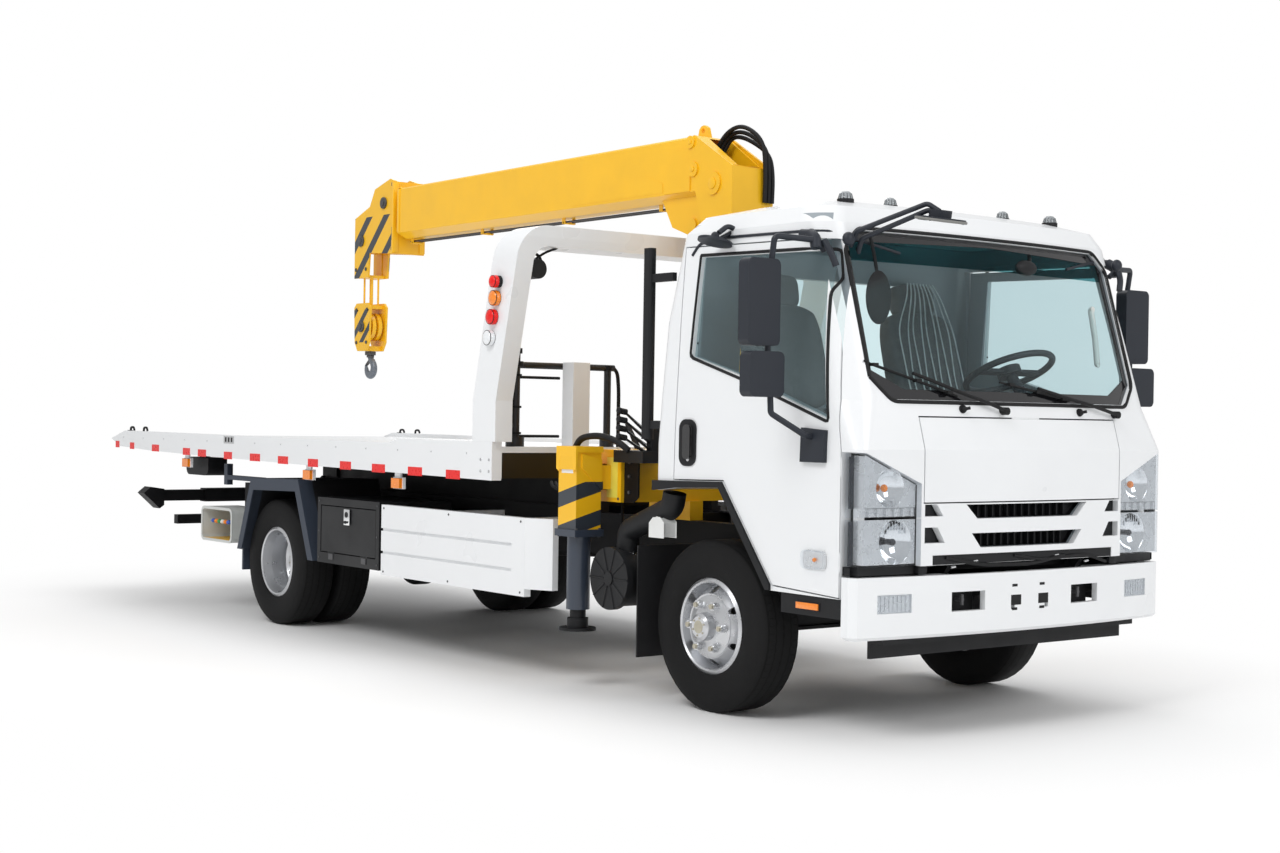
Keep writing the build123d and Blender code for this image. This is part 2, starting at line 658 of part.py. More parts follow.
def tilt_frame():
    frame = None
    half = bed_runner_width / 2
    low = rail_top + seat_gap
    tail_x = bed_pivot_x - tilt_frame_tail
    high = bed_runner_low - seat_gap
    side_view = [(tail_x, low + 20), (bed_pivot_x + 60, low + 20), (bed_pivot_x + 110, low),
                 (tilt_frame_front_x, low), (tilt_frame_front_x, high), (tail_x, high)]
    for side in (-1, 1):
        y = sorted((side * (bed_runner_y - half), side * (bed_runner_y + half)))
        rail = across(side_view, *y)
        rail -= block((bed_pivot_x + 150, tilt_frame_front_x + 1),
                      sorted((side * (bed_runner_y + 14), side * (bed_runner_y + half + 1))), (855, 995))
        frame = rail if frame is None else frame + rail
    for x in (bed_pivot_x + 300, bed_pivot_x + 1200, bed_pivot_x + 2100, tilt_frame_front_x - 140):
        frame += block((x - 35, x + 35), (-bed_runner_y, bed_runner_y), (860, 950))
    for side in (-1, 1):
        reach = sorted((side * (bed_runner_y + half - 1), side * (bed_runner_y + half + 40)))
        frame += rod((bed_pivot_x, reach[0], bed_pivot_z), (bed_pivot_x, reach[1], bed_pivot_z),
                     bed_pivot_radius)
    return frame


def bed_hinge_lugs():
    lugs = None
    half = bed_runner_width / 2
    for side in (-1, 1):
        y = sorted((side * (bed_runner_y + half + 8), side * (bed_runner_y + half + 32)))
        lug = across([(bed_pivot_x - 90, 700), (bed_pivot_x + 90, 700), (bed_pivot_x + 45, bed_pivot_z + 20),
                      (bed_pivot_x, bed_pivot_z + 45), (bed_pivot_x - 45, bed_pivot_z + 20)], *y)
        foot = sorted((side * (rail_outer_y - 2), side * (bed_runner_y + half + 9)))
        lug += block((bed_pivot_x - 70, bed_pivot_x + 70), foot, (705, 815))
        lug -= rod((bed_pivot_x, side * 400, bed_pivot_z), (bed_pivot_x, side * 500, bed_pivot_z),
                   bed_pivot_radius + running_gap)
        lugs = lug if lugs is None else lugs + lug
    return lugs


# Wheel lift at the tail

def lift_sleeve():
    sleeve = block((lift_sleeve_rear_x, lift_pivot_x + 30), (-lift_half, lift_half),
                   (lift_z - lift_half, lift_z + lift_half))
    bore = lift_half - 12
    sleeve -= block((lift_sleeve_rear_x - 5, lift_pivot_x - 60), (-bore, bore), (lift_z - bore, lift_z + bore))
    sleeve -= rod((lift_pivot_x, -80, lift_z), (lift_pivot_x, 80, lift_z), 20 + running_gap)
    return sleeve


def wheel_lift():
    half = lift_half - 12 - seat_gap
    lift = block((lift_bar_x, lift_pivot_x - 66), (-half, half), (lift_z - half, lift_z + half))
    lift += block((lift_bar_x - 50, lift_bar_x + 50), (-517, 517), (lift_z - 50, lift_z + 50))
    lift += block((lift_bar_x - 40, lift_bar_x + 40), (-860, 860), (lift_z - 40, lift_z + 40))
    for side in (-1, 1):
        lift += along([(side * 850, lift_z - 70), (side * 885, lift_z - 95), (side * 1010, lift_z + 20),
                       (side * 955, lift_z + 66), (side * 850, lift_z + 50)], lift_bar_x - 60, lift_bar_x + 60)
    return lift


def tail_fittings():
    bars = []
    for side in (-1, 1):
        bar = block((rail_rear_x + 40, rail_rear_x + 100), sorted((side * 120, side * 1000)),
                    (545, rail_low - seat_gap))
        bars.append(bar)
    return bars


# Control box beside the rear mudguard


def control_box():
    box = block(control_x, (-control_face_y, -control_inner_y), control_z)
    box = fillet(box.edges().filter_by(Axis.Y), 40)
    hollow = block((control_x[0] + 14, control_x[1] - 14), (-control_face_y - 5, -control_inner_y - 14),
                   (control_z[0] + 14, control_z[1] - 14))
    box -= fillet(hollow.edges().filter_by(Axis.Y), 28)
    box += block((control_x[0] + 130, control_x[1] - 130), (-control_inner_y - 2, -rail_outer_y - seat_gap),
                 (620, 680))
    return box


def control_valves():
    block_body = block((control_x[0] + 100, control_x[1] - 100),
                       (-control_inner_y - 80, -control_inner_y - 14 - seat_gap), (540, 610))
    for index in range(6):
        x = control_x[0] + 120 + index * 48
        block_body += rod((x, -control_inner_y - 60, 575), (x, -control_inner_y - 190, 600), 6)
        block_body += rod((x, -control_inner_y - 180, 598), (x, -control_inner_y - 215, 604), 11)
    return block_body


# Crane

def crane_base():
    x = (slew_x - base_half_length, slew_x + base_half_length)
    base = block(x, (-base_half_width, base_half_width), (base_low, base_top))
    hollow = 2 * (beam_half + moving_gap)
    base -= block((slew_x - beam_half - moving_gap, slew_x + beam_half + moving_gap),
                  (-base_half_width - 5, base_half_width + 5), (985, 985 + hollow))
    for side in (-1, 1):
        y = sorted((side * 340, side * 425))
        base += block((slew_x - 170, slew_x + 170), y, (rail_top + seat_gap, base_low + 1))
    base += rod((slew_x, 0, base_top - 1), (slew_x, 0, 1262), 250)
    return base


def crane_levers():
    bank = block((slew_x + base_half_length + seat_gap, slew_x + 380), (-900, -640), (1130, 1190))
    for index in range(4):
        z = 1230 + index * 42
        stem = rod((slew_x + 340, -800, 1150 + index * 30), (slew_x + 340, -985, z + 25), 6)
        stem += rod((slew_x + 340, -975, z + 23), (slew_x + 340, -1020, z + 30), 15)
        bank += stem
    bank += block((slew_x + 320, slew_x + 360), (-830, -770), (1185, 1300))
    return bank


def column():
    lower = rod((slew_x, 0, 1262 + seat_gap), (slew_x, 0, turntable_top), 235)
    mast = block((slew_x - 95, slew_x + 130), (-120, 120), (turntable_top - 1, boom_pin[1] - 300))
    mast = fillet(mast.edges().filter_by(Axis.Z), 40)
    post = lower + mast
    inner = boom_half_width + 6
    outer = inner + head_plate
    x, z = boom_pin
    head = [(x - 82, z - 350), (head_front_x - 60, z - 430), (head_front_x, z - 350), (head_front_x, z + 81),
            (x - 164, boom_top - 2), (x - 216, boom_top - 9), (x - 206, z + 100), (x - 148, z - 40),
            (x - 105, z - 180)]
    for side in (-1, 1):
        post += across(head, *sorted((side * inner, side * outer)))
        for dx, dz, radius in ((0, 0, 62), (-168, 90, 40), (-192, 238, 34)):
            post += rod((x + dx, side * (outer - 2), z + dz), (x + dx, side * (outer + 9), z + dz), radius)
    post += block((x - 75, head_front_x), (-inner - 2, inner + 2), (z - 350, z - 270))
    post += block((head_front_x - head_plate, head_front_x), (-inner - 2, inner + 2), (z - 280, z + 81))
    post += rod((boom_pin[0], -outer, boom_pin[1]), (boom_pin[0], outer, boom_pin[1]), 38)
    for side in (-1, 1):
        ear = across([(luff_base[0] - 55, luff_base[1] - 40), (slew_x - 90, luff_base[1] - 120),
                      (slew_x - 90, luff_base[1] + 90), (luff_base[0] - 10, luff_base[1] + 55),
                      (luff_base[0] - 55, luff_base[1] + 30)], *sorted((side * 70, side * 95)))
        post += ear
    post += rod((luff_base[0], -100, luff_base[1]), (luff_base[0], 100, luff_base[1]), 26)
    return post


def boom_section(half, low, side_low, top, x_rear, x_front, wall):
    outline = [(-half, side_low), (-half, top - 10), (-half + 10, top), (half - 10, top), (half, top - 10),
               (half, side_low), (half * 0.45, low), (-half * 0.45, low)]
    inner = [(-half + wall, side_low + wall * 0.4), (-half + wall, top - wall), (half - wall, top - wall),
             (half - wall, side_low + wall * 0.4), (half * 0.45 - wall * 0.3, low + wall),
             (-half * 0.45 + wall * 0.3, low + wall)]
    return along(outline, x_rear, x_front) - along(inner, x_rear - 5, x_front + 5)


def boom():
    base = boom_section(boom_half_width, boom_low, boom_side_low, boom_top, boom_head_x, boom_root_x, boom_wall)
    base -= across([(-1160, boom_top + 1), (-1160, boom_top), (boom_root_x, boom_top - 175),
                    (boom_root_x + 1, boom_top - 175), (boom_root_x + 1, boom_top + 1)], -200, 200)
    reach = boom_half_width - 2
    base += across([(-1170, boom_top - 12), (-1160, boom_top), (boom_root_x, boom_top - 175),
                    (boom_root_x, boom_side_low), (boom_root_x - 12, boom_side_low),
                    (boom_root_x - 12, boom_top - 183)], -reach, -40)
    base += across([(boom_root_x, boom_top - 175), (boom_root_x, boom_side_low), (boom_root_x - 12, boom_side_low),
                    (boom_root_x - 12, boom_top - 175)], -reach, reach)
    for side in (-1, 1):
        base += rod((boom_pin[0], side * (boom_half_width - 30), boom_pin[1]),
                    (boom_pin[0], side * (boom_half_width + 5), boom_pin[1]), 66)
        doubler = [(-1420, boom_side_low + 4), (-1420, boom_top - 215), (-1330, boom_top - 70), (-1200, boom_top - 55),
                   (-1200, boom_side_low + 4)]
        base += across(doubler, *sorted((side * (boom_half_width - 2), side * (boom_half_width + 5))))
    base -= rod((boom_pin[0], -200, boom_pin[1]), (boom_pin[0], 200, boom_pin[1]), 38 + running_gap)
    root = boom_low + boom_wall + 2
    bracket = [(-1490, root), (-1400, 2400), (-1265, 2352), (-1180, 2360), (-1160, 2420), (-1160, root)]
    for side in (-1, 1):
        base += across(bracket, *sorted((side * 60, side * 82)))
        base += rod((luff_pin[0], side * 80, luff_pin[1]), (luff_pin[0], side * 94, luff_pin[1]), 38)
    lug = across([(-1280, boom_top - 4), (-1180, boom_top - 4), (-1200, boom_top + 60), (-1225, boom_top + 75),
                  (-1250, boom_top + 70), (-1265, boom_top + 55)], -12, 12)
    base += lug - rod((-1232, -20, boom_top + 45), (-1232, 20, boom_top + 45), 14)
    return base


def inner_section(step, x_rear, x_front):
    inset = step * section_step
    low = boom_low + inset
    section = boom_section(boom_half_width - inset, low, boom_side_low + inset * 0.8,
                           boom_top - inset, x_rear, x_front, boom_wall)
    pad_half = boom_half_width * 0.3
    section += block((x_front - 120, x_front), (-pad_half, pad_half),
                     (low - section_step + boom_wall + seat_gap, low + 2))
    return section


def boom_tip():
    face = boom_head_x - 60
    tip = inner_section(2, face, -1500)
    tip += block((face - 14, face + 2), (-125, 125), (boom_low - 100, boom_top + 55))
    pin_x, pin_z = head_pin
    cheek = [(face, boom_low - 100), (face, boom_top + 55), (face - 110, boom_top + 85),
             (pin_x + 180, boom_top + 30), (pin_x + 110, boom_top - 85), (pin_x - 95, pin_z + 160),
             (pin_x - 95, pin_z - 260), (pin_x + 95, pin_z - 260), (pin_x + 110, boom_low - 70)]
    for side in (-1, 1):
        tip += across(cheek, *sorted((side * 68, side * 84)))
    for y in (-38, 0, 38):
        tip += rod((pin_x, y - 14, pin_z), (pin_x, y + 14, pin_z), 88)
        tip += rod((face - 190, y - 14, boom_top - 75), (face - 190, y + 14, boom_top - 75), 90)
    tip += rod((pin_x, -90, pin_z), (pin_x, 90, pin_z), 24)
    tip += rod((face - 190, -90, boom_top - 75), (face - 190, 90, boom_top - 75), 24)
    return tip


def hook_block():
    x, z = head_pin
    body = None
    for side in (-1, 1):
        plate = across([(x - 112, 2095), (x - 80, 2125), (x + 80, 2125), (x + 112, 2095), (x + 100, 1850),
                        (x + 60, 1790), (x - 60, 1790), (x - 100, 1850)], *sorted((side * 56, side * 72)))
        body = plate if body is None else body + plate
    body += rod((x, -80, 1960), (x, 80, 1960), 28)
    for y in (-24, 24):
        body += rod((x, y - 14, 1960), (x, y + 14, 1960), 98)
    body += block((x - 50, x + 50), (-60, 60), (1790, 1825))
    body += block((x - 70, x + 70), (-60, 60), (2085, 2110))
    return body


def hanger():
    x, z = head_pin
    link = block((x - 65, x + 65), (-67, 67), (2300, 2320))
    for side in (-1, 1):
        strap = across([(x - 30, z + 40), (x + 30, z + 40), (x + 30, 2301), (x - 30, 2301)],
                       *sorted((side * 62.5, side * 67)))
        strap -= rod((x, side * 50, z), (x, side * 80, z), 24 + running_gap)
        link += strap
        for offset in (-55, 55):
            link += rod((x + offset, side * 24, 2100), (x + offset, side * 24, 2305), 7)
    return link


def hook():
    x = head_pin[0]
    stem = rod((x, 0, 1735), (x, 0, 1790 - seat_gap), 24)
    ring = Pos(x, 0, 1672) * Rot(90, 0, 0) * Torus(52, 24)
    ring -= block((x - 100, x - 20), (-30, 30), (1674, 1712))
    return stem + ring


def luff_geometry():
    dx = luff_pin[0] - luff_base[0]
    dz = luff_pin[1] - luff_base[1]
    length = math.hypot(dx, dz)
    return dx / length, dz / length, length


def luff_barrel():
    ux, uz, length = luff_geometry()

    def at(distance):
        return (luff_base[0] + ux * distance, 0, luff_base[1] + uz * distance)

    barrel = rod(at(50), at(length - 190), 58)
    eye = rod((luff_base[0], -60, luff_base[1]), (luff_base[0], 60, luff_base[1]), 52)
    eye += rod(at(10), at(80), 45)
    barrel = barrel + eye
    barrel -= rod((luff_base[0], -80, luff_base[1]), (luff_base[0], 80, luff_base[1]), 26 + running_gap)
    barrel -= rod(at(90), at(length), 36 + running_gap)
    return barrel


def luff_rod():
    ux, uz, length = luff_geometry()

    def at(distance):
        return (luff_base[0] + ux * distance, 0, luff_base[1] + uz * distance)

    bar = rod(at(110), at(length - 20), 36)
    bar += rod((luff_pin[0], -52, luff_pin[1]), (luff_pin[0], 52, luff_pin[1]), 46)
    return bar


def outrigger(side):
    beam = block((slew_x - beam_half, slew_x + beam_half), sorted((side * 150, side * (leg_y - leg_half + 1))),
                 (991, 991 + 2 * beam_half))
    leg = block((slew_x - leg_half, slew_x + leg_half), sorted((side * (leg_y - leg_half), side * (leg_y + leg_half))),
                (leg_low, leg_top))
    leg += block((slew_x - collar_half, slew_x + collar_half),
                 sorted((side * (leg_y - collar_half), side * (leg_y + collar_half))), (leg_low - 35, leg_low))
    leg += rod((slew_x, side * leg_y, leg_tube_low), (slew_x, side * leg_y, leg_low), leg_tube_radius)
    hood = along([(side * (leg_y - leg_half - 6), leg_top - 24), (side * (leg_y - leg_half - 6), leg_top + 6),
                  (side * (leg_y + leg_half + 10), leg_top + 6), (side * (leg_y + leg_half + 10), leg_top - 110),
                  (side * (leg_y + leg_half - 1), leg_top - 110), (side * (leg_y + leg_half - 1), leg_top - 24)],
                 slew_x - leg_half - 8, slew_x + leg_half + 8)
    leg += hood
    cheek = [(side * (leg_y - leg_half), leg_top - 60), (side * (leg_y + leg_half - 30), leg_top - 30),
             (side * (leg_y + leg_half - 30), leg_top - 100), (side * (leg_y - leg_half), base_low + 60)]
    leg += along(cheek, slew_x + leg_half - 2, slew_x + leg_half + 8)
    leg -= rod((slew_x, side * leg_y, leg_tube_low - 5), (slew_x, side * leg_y, leg_top - 20),
               jack_radius + running_gap)
    for z in ((985 + seat_gap, 992), (990 + 2 * beam_half, 985 + 2 * (beam_half + moving_gap) - seat_gap)):
        beam += block((slew_x - 40, slew_x + 40), sorted((side * 150, side * 250)), z)
    return beam + leg


def jack(side):
    tube = rod((slew_x, side * leg_y, jack_low + 10), (slew_x, side * leg_y, leg_top - 40), jack_radius)
    foot = rod((slew_x, side * leg_y, jack_low), (slew_x, side * leg_y, jack_low + 14), foot_radius)
    foot += rod((slew_x, side * leg_y, jack_low + 13), (slew_x, side * leg_y, jack_low + 62), jack_radius + 13)
    return tube + foot


# Cab

def plan_section(z, front_x, half, corner, rear_x, rear_corner, bow):
    """One level of the cab: bowed front, round corners, flat sides and back."""
    x_side = front_x - bow
    k = corner * (1 - math.sqrt(0.5))
    k_rear = rear_corner * (1 - math.sqrt(0.5))
    front = ThreePointArc((x_side, -half + corner, z), (front_x, 0, z), (x_side, half - corner, z))
    left_front = ThreePointArc((x_side, half - corner, z), (x_side - k, half - k, z), (x_side - corner, half, z))
    left = Line((x_side - corner, half, z), (rear_x + rear_corner, half, z))
    left_rear = ThreePointArc((rear_x + rear_corner, half, z), (rear_x + k_rear, half - k_rear, z),
                              (rear_x, half - rear_corner, z))
    back = Line((rear_x, half - rear_corner, z), (rear_x, -half + rear_corner, z))
    right_rear = ThreePointArc((rear_x, -half + rear_corner, z), (rear_x + k_rear, -half + k_rear, z),
                               (rear_x + rear_corner, -half, z))
    right = Line((rear_x + rear_corner, -half, z), (x_side - corner, -half, z))
    right_front = ThreePointArc((x_side - corner, -half, z), (x_side - k, -half + k, z),
                                (x_side, -half + corner, z))
    return Wire([front, left_front, left, left_rear, back, right_rear, right, right_front])


# Cab levels: height, front x at the centre, half width, front corner, rear x, rear corner, bow
cab_levels = (
    (540, 1080, cab_half_width, 60, cab_rear_x, 45, 42),
    (1235, 1080, cab_half_width, 62, cab_rear_x, 45, 42),
    (belt_z, 1034, cab_half_width - 5, 150, cab_rear_x + 5, 60, 55),
    (1800, 934, cab_half_width - 18, 160, cab_rear_x + 22, 75, 58),
    (2210, 812, cab_half_width - 40, 150, cab_rear_x + 95, 110, 55),
    (2285, 770, cab_half_width - 85, 150, cab_rear_x + 165, 130, 50),
    (cab_roof, 640, cab_half_width - 240, 140, cab_rear_x + 330, 150, 40),
)


def cab_solid(inset, z_low):
    sections = []
    for z, front_x, half, corner, rear_x, rear_corner, bow in cab_levels:
        level = z_low if z == cab_levels[0][0] else z - (inset * 0.7 if z > 2200 else 0)
        sections.append(plan_section(level, front_x - inset, half - inset, max(corner - inset, 20),
                                     rear_x + inset, max(rear_corner - inset, 12), bow))
    return loft([Face(w) for w in sections], ruled=True)


def door_outline(grow):
    g = grow
    return [(door_front_x + g, door_low - g), (door_front_x + g, 1235), (795 + g, door_top - 18 + g),
            (door_rear_x + 20 - g, door_top + g), (door_rear_x - g, 1070 - g), (175 - g * 0.6, 1078 - g),
            (515 - g * 1.1, 635 - g)]


# Grille slots: low z, high z, half width at the low edge, half width at the high edge
grille_slots = ((938, 1000, 335, 403), (812, 875, 312, 368))
# Side vents: low z, high z, inner y at the low edge, inner y at the high edge
side_vents = ((952, 1003, 540, 578), (838, 905, 528, 574))
gap_face_x = 1058
gap_top = 786
lamp_divide = 946
lamp_low = 747
window_points = [(-40, 2095), (-78, 1640), (277, 1545), (838, 1360), (760, 2078)]


def cab_pieces():
    outer = cab_solid(0, 540)
    under = [(-500, 300)] + [(-500, 1012)] + list(arch_points) + [(1300, 742), (1300, 300)]
    outer -= across(under, -cab_half_width - 180, cab_half_width + 180)
    outer -= block((-500, 990), (-480, 480), (500, 1035))
    cavity = cab_solid(cab_wall, 1090)
    foot = block((530, 960), (60 - cab_half_width, cab_half_width - 60), (665, 1200)) - block((400, 1000), (-530, 530), (600, 1088))
    hollow = cavity + foot
    shell = outer - hollow
    for side in (-1, 1):
        shell -= block((tilt_x - 60, tilt_x + 34), sorted((side * 412, side * 475)), (700, tilt_z + 50))
        shell += rod((tilt_x, side * 405, tilt_z), (tilt_x, side * 480, tilt_z), tilt_pin_radius)
    doors = []
    for side in (-1, 1):
        outline = across(door_outline(0), *sorted((side * (cab_half_width - door_thickness), side * cab_reach)))
        opening = across(door_outline(door_gap), *sorted((side * (cab_half_width - 140), side * cab_reach)))
        door = outer & outline
        window = across(window_points, *sorted((side * (cab_half_width - 220), side * cab_reach)))
        door -= window
        doors.append((side, door))
        shell -= opening
    return outer, shell, doors


def windscreen_face(grow):
    half = cab_half_width - 148 + grow
    return [(-half, 1545 - grow * 0.5), (-half + 95, 1448 - grow), (half - 95, 1448 - grow), (half, 1545 - grow * 0.5),
            (half - 5, 2095 + grow * 0.5), (half - 90, 2178 + grow), (-half + 90, 2178 + grow),
            (-half + 5, 2095 + grow * 0.5)]


def cab():
    outer, shell, doors = cab_pieces()
    windscreen_cut = along(windscreen_face(0), 600, 1200)
    shell -= windscreen_cut
    rear_window = along([(-560, 1500), (560, 1500), (560, 2050), (-560, 2050)], -400, -150)
    shell -= rear_window
    lid_y = (-lid_half_width, lid_half_width)
    wall = outer - cab_solid(cab_wall, 1090)
    lid = wall & (block((1022, 1200), lid_y, (lid_low, 1097)) + block((940, 1200), lid_y, (1096, lid_top)))
    opening_y = (-lid_half_width - door_gap, lid_half_width + door_gap)
    shell -= block((1016, 1200), opening_y, (lid_low - door_gap, 1097))
    shell -= block((935, 1200), opening_y, (1091, lid_top + door_gap))
    hinge = rod((lid_hinge_x, -90, lid_top + door_gap / 2), (lid_hinge_x, 90, lid_top + door_gap / 2),
                door_gap / 2 - seat_gap)
    lamps = []
    for side in (-1, 1):
        inner_y, outer_y = lid_half_width + 18, cab_half_width - 45
        pocket = along([(side * inner_y, 700), (side * inner_y, 1091), (side * outer_y, 1221),
                        (side * cab_reach, 1226), (side * cab_reach, 700)], 935, 1200)
        lamps.append(outer & pocket)
        shell -= pocket
    for z_low, z_high, half_low, half_high in grille_slots:
        shell -= along([(-half_low, z_low), (half_low, z_low), (half_high, z_high), (-half_high, z_high)],
                       1000, 1200)
    for side in (-1, 1):
        for z_low, z_high, inner_low, inner_high in side_vents:
            shell -= along([(side * inner_low, z_low), (side * 648, z_low), (side * 648, z_high),
                            (side * inner_high, z_high)], 1010, 1200)
    shell -= block((gap_face_x, 1200), (-600, 600), (700, gap_top))
    add("cab_shell", shell)
    add("front_lid", lid, hinge)
    for lamp in lamps:
        add("cab_lamps", lamp & block((960, 1200), (-cab_reach, cab_reach), (lamp_divide + 4, 1220)))
        add("cab_lamps", lamp & block((960, 1200), (-cab_reach, cab_reach), (lamp_low, lamp_divide - 4)))
    glass = cab_solid(cab_wall * 0.35, 1000) - cab_solid(cab_wall * 0.35 + glass_thickness, 1000)
    add("cab_glass", glass & along(windscreen_face(-1), 700, 1200))
    add("cab_glass", glass & along([(-559.7, 1500.3), (559.7, 1500.3), (559.7, 2049.7), (-559.7, 2049.7)], -400, -150))
    for side, door in doors:
        word = "right" if side < 0 else "left"
        hinges = [rod((door_front_x + door_gap / 2, side * door_hinge_y, z), (door_front_x + door_gap / 2,
                       side * door_hinge_y, z + 80), door_gap / 2 - seat_gap) for z in (720, 1120)]
        add(f"door_{word}", door, *hinges)
        pane = glass & across([(-39.6, 2094.6), (-77.6, 1640.4), (277, 1545.4), (837.4, 1360.6), (759.6, 2077.6)],
                              *sorted((side * (cab_half_width - 120), side * cab_reach)))
        add(f"door_glass_{word}", pane)
    for z_low, z_high, half_low, half_high in grille_slots:
        mesh = along([(-half_low + 1, z_low + 1), (half_low - 1, z_low + 1), (half_high - 1, z_high - 1),
                      (-half_high + 1, z_high - 1)], 1000 + seat_gap, 1010)
        for index in range(13):
            y = (index - 6) * half_low / 7
            mesh += block((1010, 1034), (y - 3, y + 3), (z_low + 2, z_high - 2))
        add("cab_trim", mesh)
    for side in (-1, 1):
        for z_low, z_high, inner_low, inner_high in side_vents:
            add("cab_trim", along([(side * (inner_low + 1), z_low + 1), (side * 647, z_low + 1),
                                   (side * 647, z_high - 1), (side * (inner_high + 1), z_high - 1)],
                                  1010 + seat_gap, 1030))
    add("cab_trim", block((gap_face_x + seat_gap, gap_face_x + 3), (-598, 598), (744, gap_top - 2)))


def seats():
    for y in (-470, 470):
        cushion = block((-30, 470), (y - 250, y + 250), (1090 + seat_gap, 1400))
        cushion = fillet(cushion.edges().filter_by(Axis.Y), 40)
        back = across([(-30, 1400 + seat_gap), (90, 1400 + seat_gap), (-60, 1900), (-160, 1900)], y - 240, y + 240)
        head = block((-170, -70), (y - 130, y + 130), (1900 + seat_gap, 2050))
        add("cab_seats", cushion, back, head)


def dashboard():
    top = across([(700, 1088 + seat_gap), (880, 1088 + seat_gap), (900, 1425), (780, 1450), (650, 1400)],
                 160 - cab_half_width, cab_half_width - 160)
    wheel = Pos(540, 470, 1600) * Rot(0, -25, 0) * Torus(215, 16)
    hub = Pos(540, 470, 1600) * Rot(0, -25, 0) * Cylinder(60, 40)
    spoke = Pos(540, 470, 1600) * Rot(0, -25, 0) * Box(40, 410, 18)
    stalk = rod((540, 470, 1595), (720, 470, 1380), 28)
    add("cab_dash", top + stalk + hub + spoke + wheel)


def cab_trim():
    for side in (-1, 1):
        flare = [(-330, 1013), (-172, 1029), (152, 1042), (481, 610), (505, 610), (505, 634), (168, 1070),
                 (-176, 1062), (-330, 1060)]
        add("cab_trim", across(flare, *sorted((side * (cab_half_width + seat_gap), side * (cab_half_width + 14)))))
        step = block((560, 930), sorted((side * 760, side * (cab_half_width - 12))), (520, 606 - seat_gap))
        step += block((600, 900), sorted((side * 500, side * 765)), (560, 600))
        add("cab_trim", step)
        flap = block((-478, -470), sorted((side * 640, side * 1000)), (204, 740))
        flap += block((-478, -440), sorted((side * (rail_outer_y + seat_gap), side * 650)), (690, 730))
        add("mudguards", flap)


def beside(side, x, out, z):
    """Point at a distance outward from the cab's side."""
    return (x, side * (cab_half_width + out), z)


def mirrors(side):
    big = block((632, 696), sorted((side * (cab_half_width + 141), side * (cab_half_width + 321))), (1664, 2032))
    big = fillet(big.edges().filter_by(Axis.X), 28)
    small = block((660, 726), sorted((side * (cab_half_width + 140), side * (cab_half_width + 332))), (1448, 1640))
    small = fillet(small.edges().filter_by(Axis.X), 28)
    arm = bent_tube([beside(side, 742, -60, 2080), beside(side, 752, -10, 2120), beside(side, 690, 175, 2130),
                     beside(side, 672, 175, 2020)], 13, 22)
    low = bent_tube([beside(side, 775, -40, 1270), beside(side, 765, 55, 1290), beside(side, 705, 195, 1380),
                     beside(side, 700, 195, 1460)], 13, 22)
    base = across([(700, 1175), (845, 1175), (848, 1312), (705, 1322)],
                  *sorted((side * (cab_half_width - 20), side * (cab_half_width + 22))))
    link = rod(beside(side, 680, 195, 1630), beside(side, 680, 195, 1680), 13)
    return big + small + arm + low + base + link - cab_solid(0, 540)


def cab_mirrors():
    """Front under-view mirror on its two arms, and the round mirrors above the doors."""
    y = 355 - cab_half_width
    dish = Pos(1140, y, 2205) * Rot(0, 10, 0) * Cylinder(105, 16)
    dome = Pos(1136, y, 2226) * Rot(0, 10, 0) * Cylinder(48, 40)
    head = dish + dome
    for start, shift in (((770, y - 175, 2090), 0), ((775, y - 135, 2050), 30)):
        head += bent_tube([start, (830, y - 185 + shift, 2165 - shift), (1085, y - 25, 2275 - shift),
                           (1134, y - 3, 2240)], 11, 30)
    head -= cab_solid(0, 540)
    rounds = []
    for side in (-1, 1):
        disc = Pos(140, side * (cab_half_width + 42), 2150) * Rot(side * 14, 0, 0) * Cylinder(80, 12)
        disc += rod(beside(side, 150, -80, 2215), beside(side, 140, 30, 2158), 10)
        rounds.append(disc - cab_solid(0, 540))
    return [head] + rounds


def roof_fittings():
    for side in (-1, 1):
        for x, y, radius in ((590, cab_half_width - 330, 34), (560, cab_half_width - 640, 30)):
            lamp = Pos(x, side * y, roof_z(x, y) + seat_gap) * Cylinder(radius, 30, align=(Align.CENTER,
                   Align.CENTER, Align.MIN))
            add("cab_lamps", fillet(lamp.edges().group_by(Axis.Z)[-1], 14))


def roof_z(x, y):
    """Highest height at which the roof's levels still reach this place."""
    low, high = cab_levels[-2], cab_levels[-1]
    reach = max((abs(y) - high[2]) / (low[2] - high[2]), (x - high[1] + high[6]) / (low[1] - high[1]), 0)
    return high[0] - min(reach, 1) * (high[0] - low[0])


def snorkel():
    face = -cab_half_width
    duct = block((-490, -428), (face + 35, face + 75), (1250, 2165))
    duct = fillet(duct.edges().filter_by(Axis.Z), 15)
    for index in range(9):
        z = 1960 + index * 22
        duct -= block((-500, -482), (face + 30, face + 80), (z, z + 10))
    duct += block((-440, cab_rear_x + 2), (face + 45, face + 70), (1300, 1340))
    duct += block((-440, cab_rear_x + 60), (face + 45, face + 70), (2000, 2040))
    return duct - cab_solid(0, 540)


def air_cleaner():
    drum = rod((-645, -1040, 570), (-645, -820, 570), 138)
    drum += rod((-645, -1044, 570), (-645, -1012, 570), 152)
    for index in range(10):
        angle = math.radians(36 * index)
        dx, dz = math.cos(angle), math.sin(angle)
        drum += rod((-645 + 40 * dx, -1044, 570 + 40 * dz), (-645 + 150 * dx, -1044, 570 + 150 * dz), 5)
    drum += rod((-645, -1050, 570), (-645, -1040, 570), 34)
    drum += block((-690, -600), (-830, -rail_outer_y - seat_gap), (640, 700))
    hose = bent_tube([(-285, -930, 1000), (-300, -930, 930), (-640, -930, 800), (-645, -930, 690)], 56, 60)
    return drum + hose


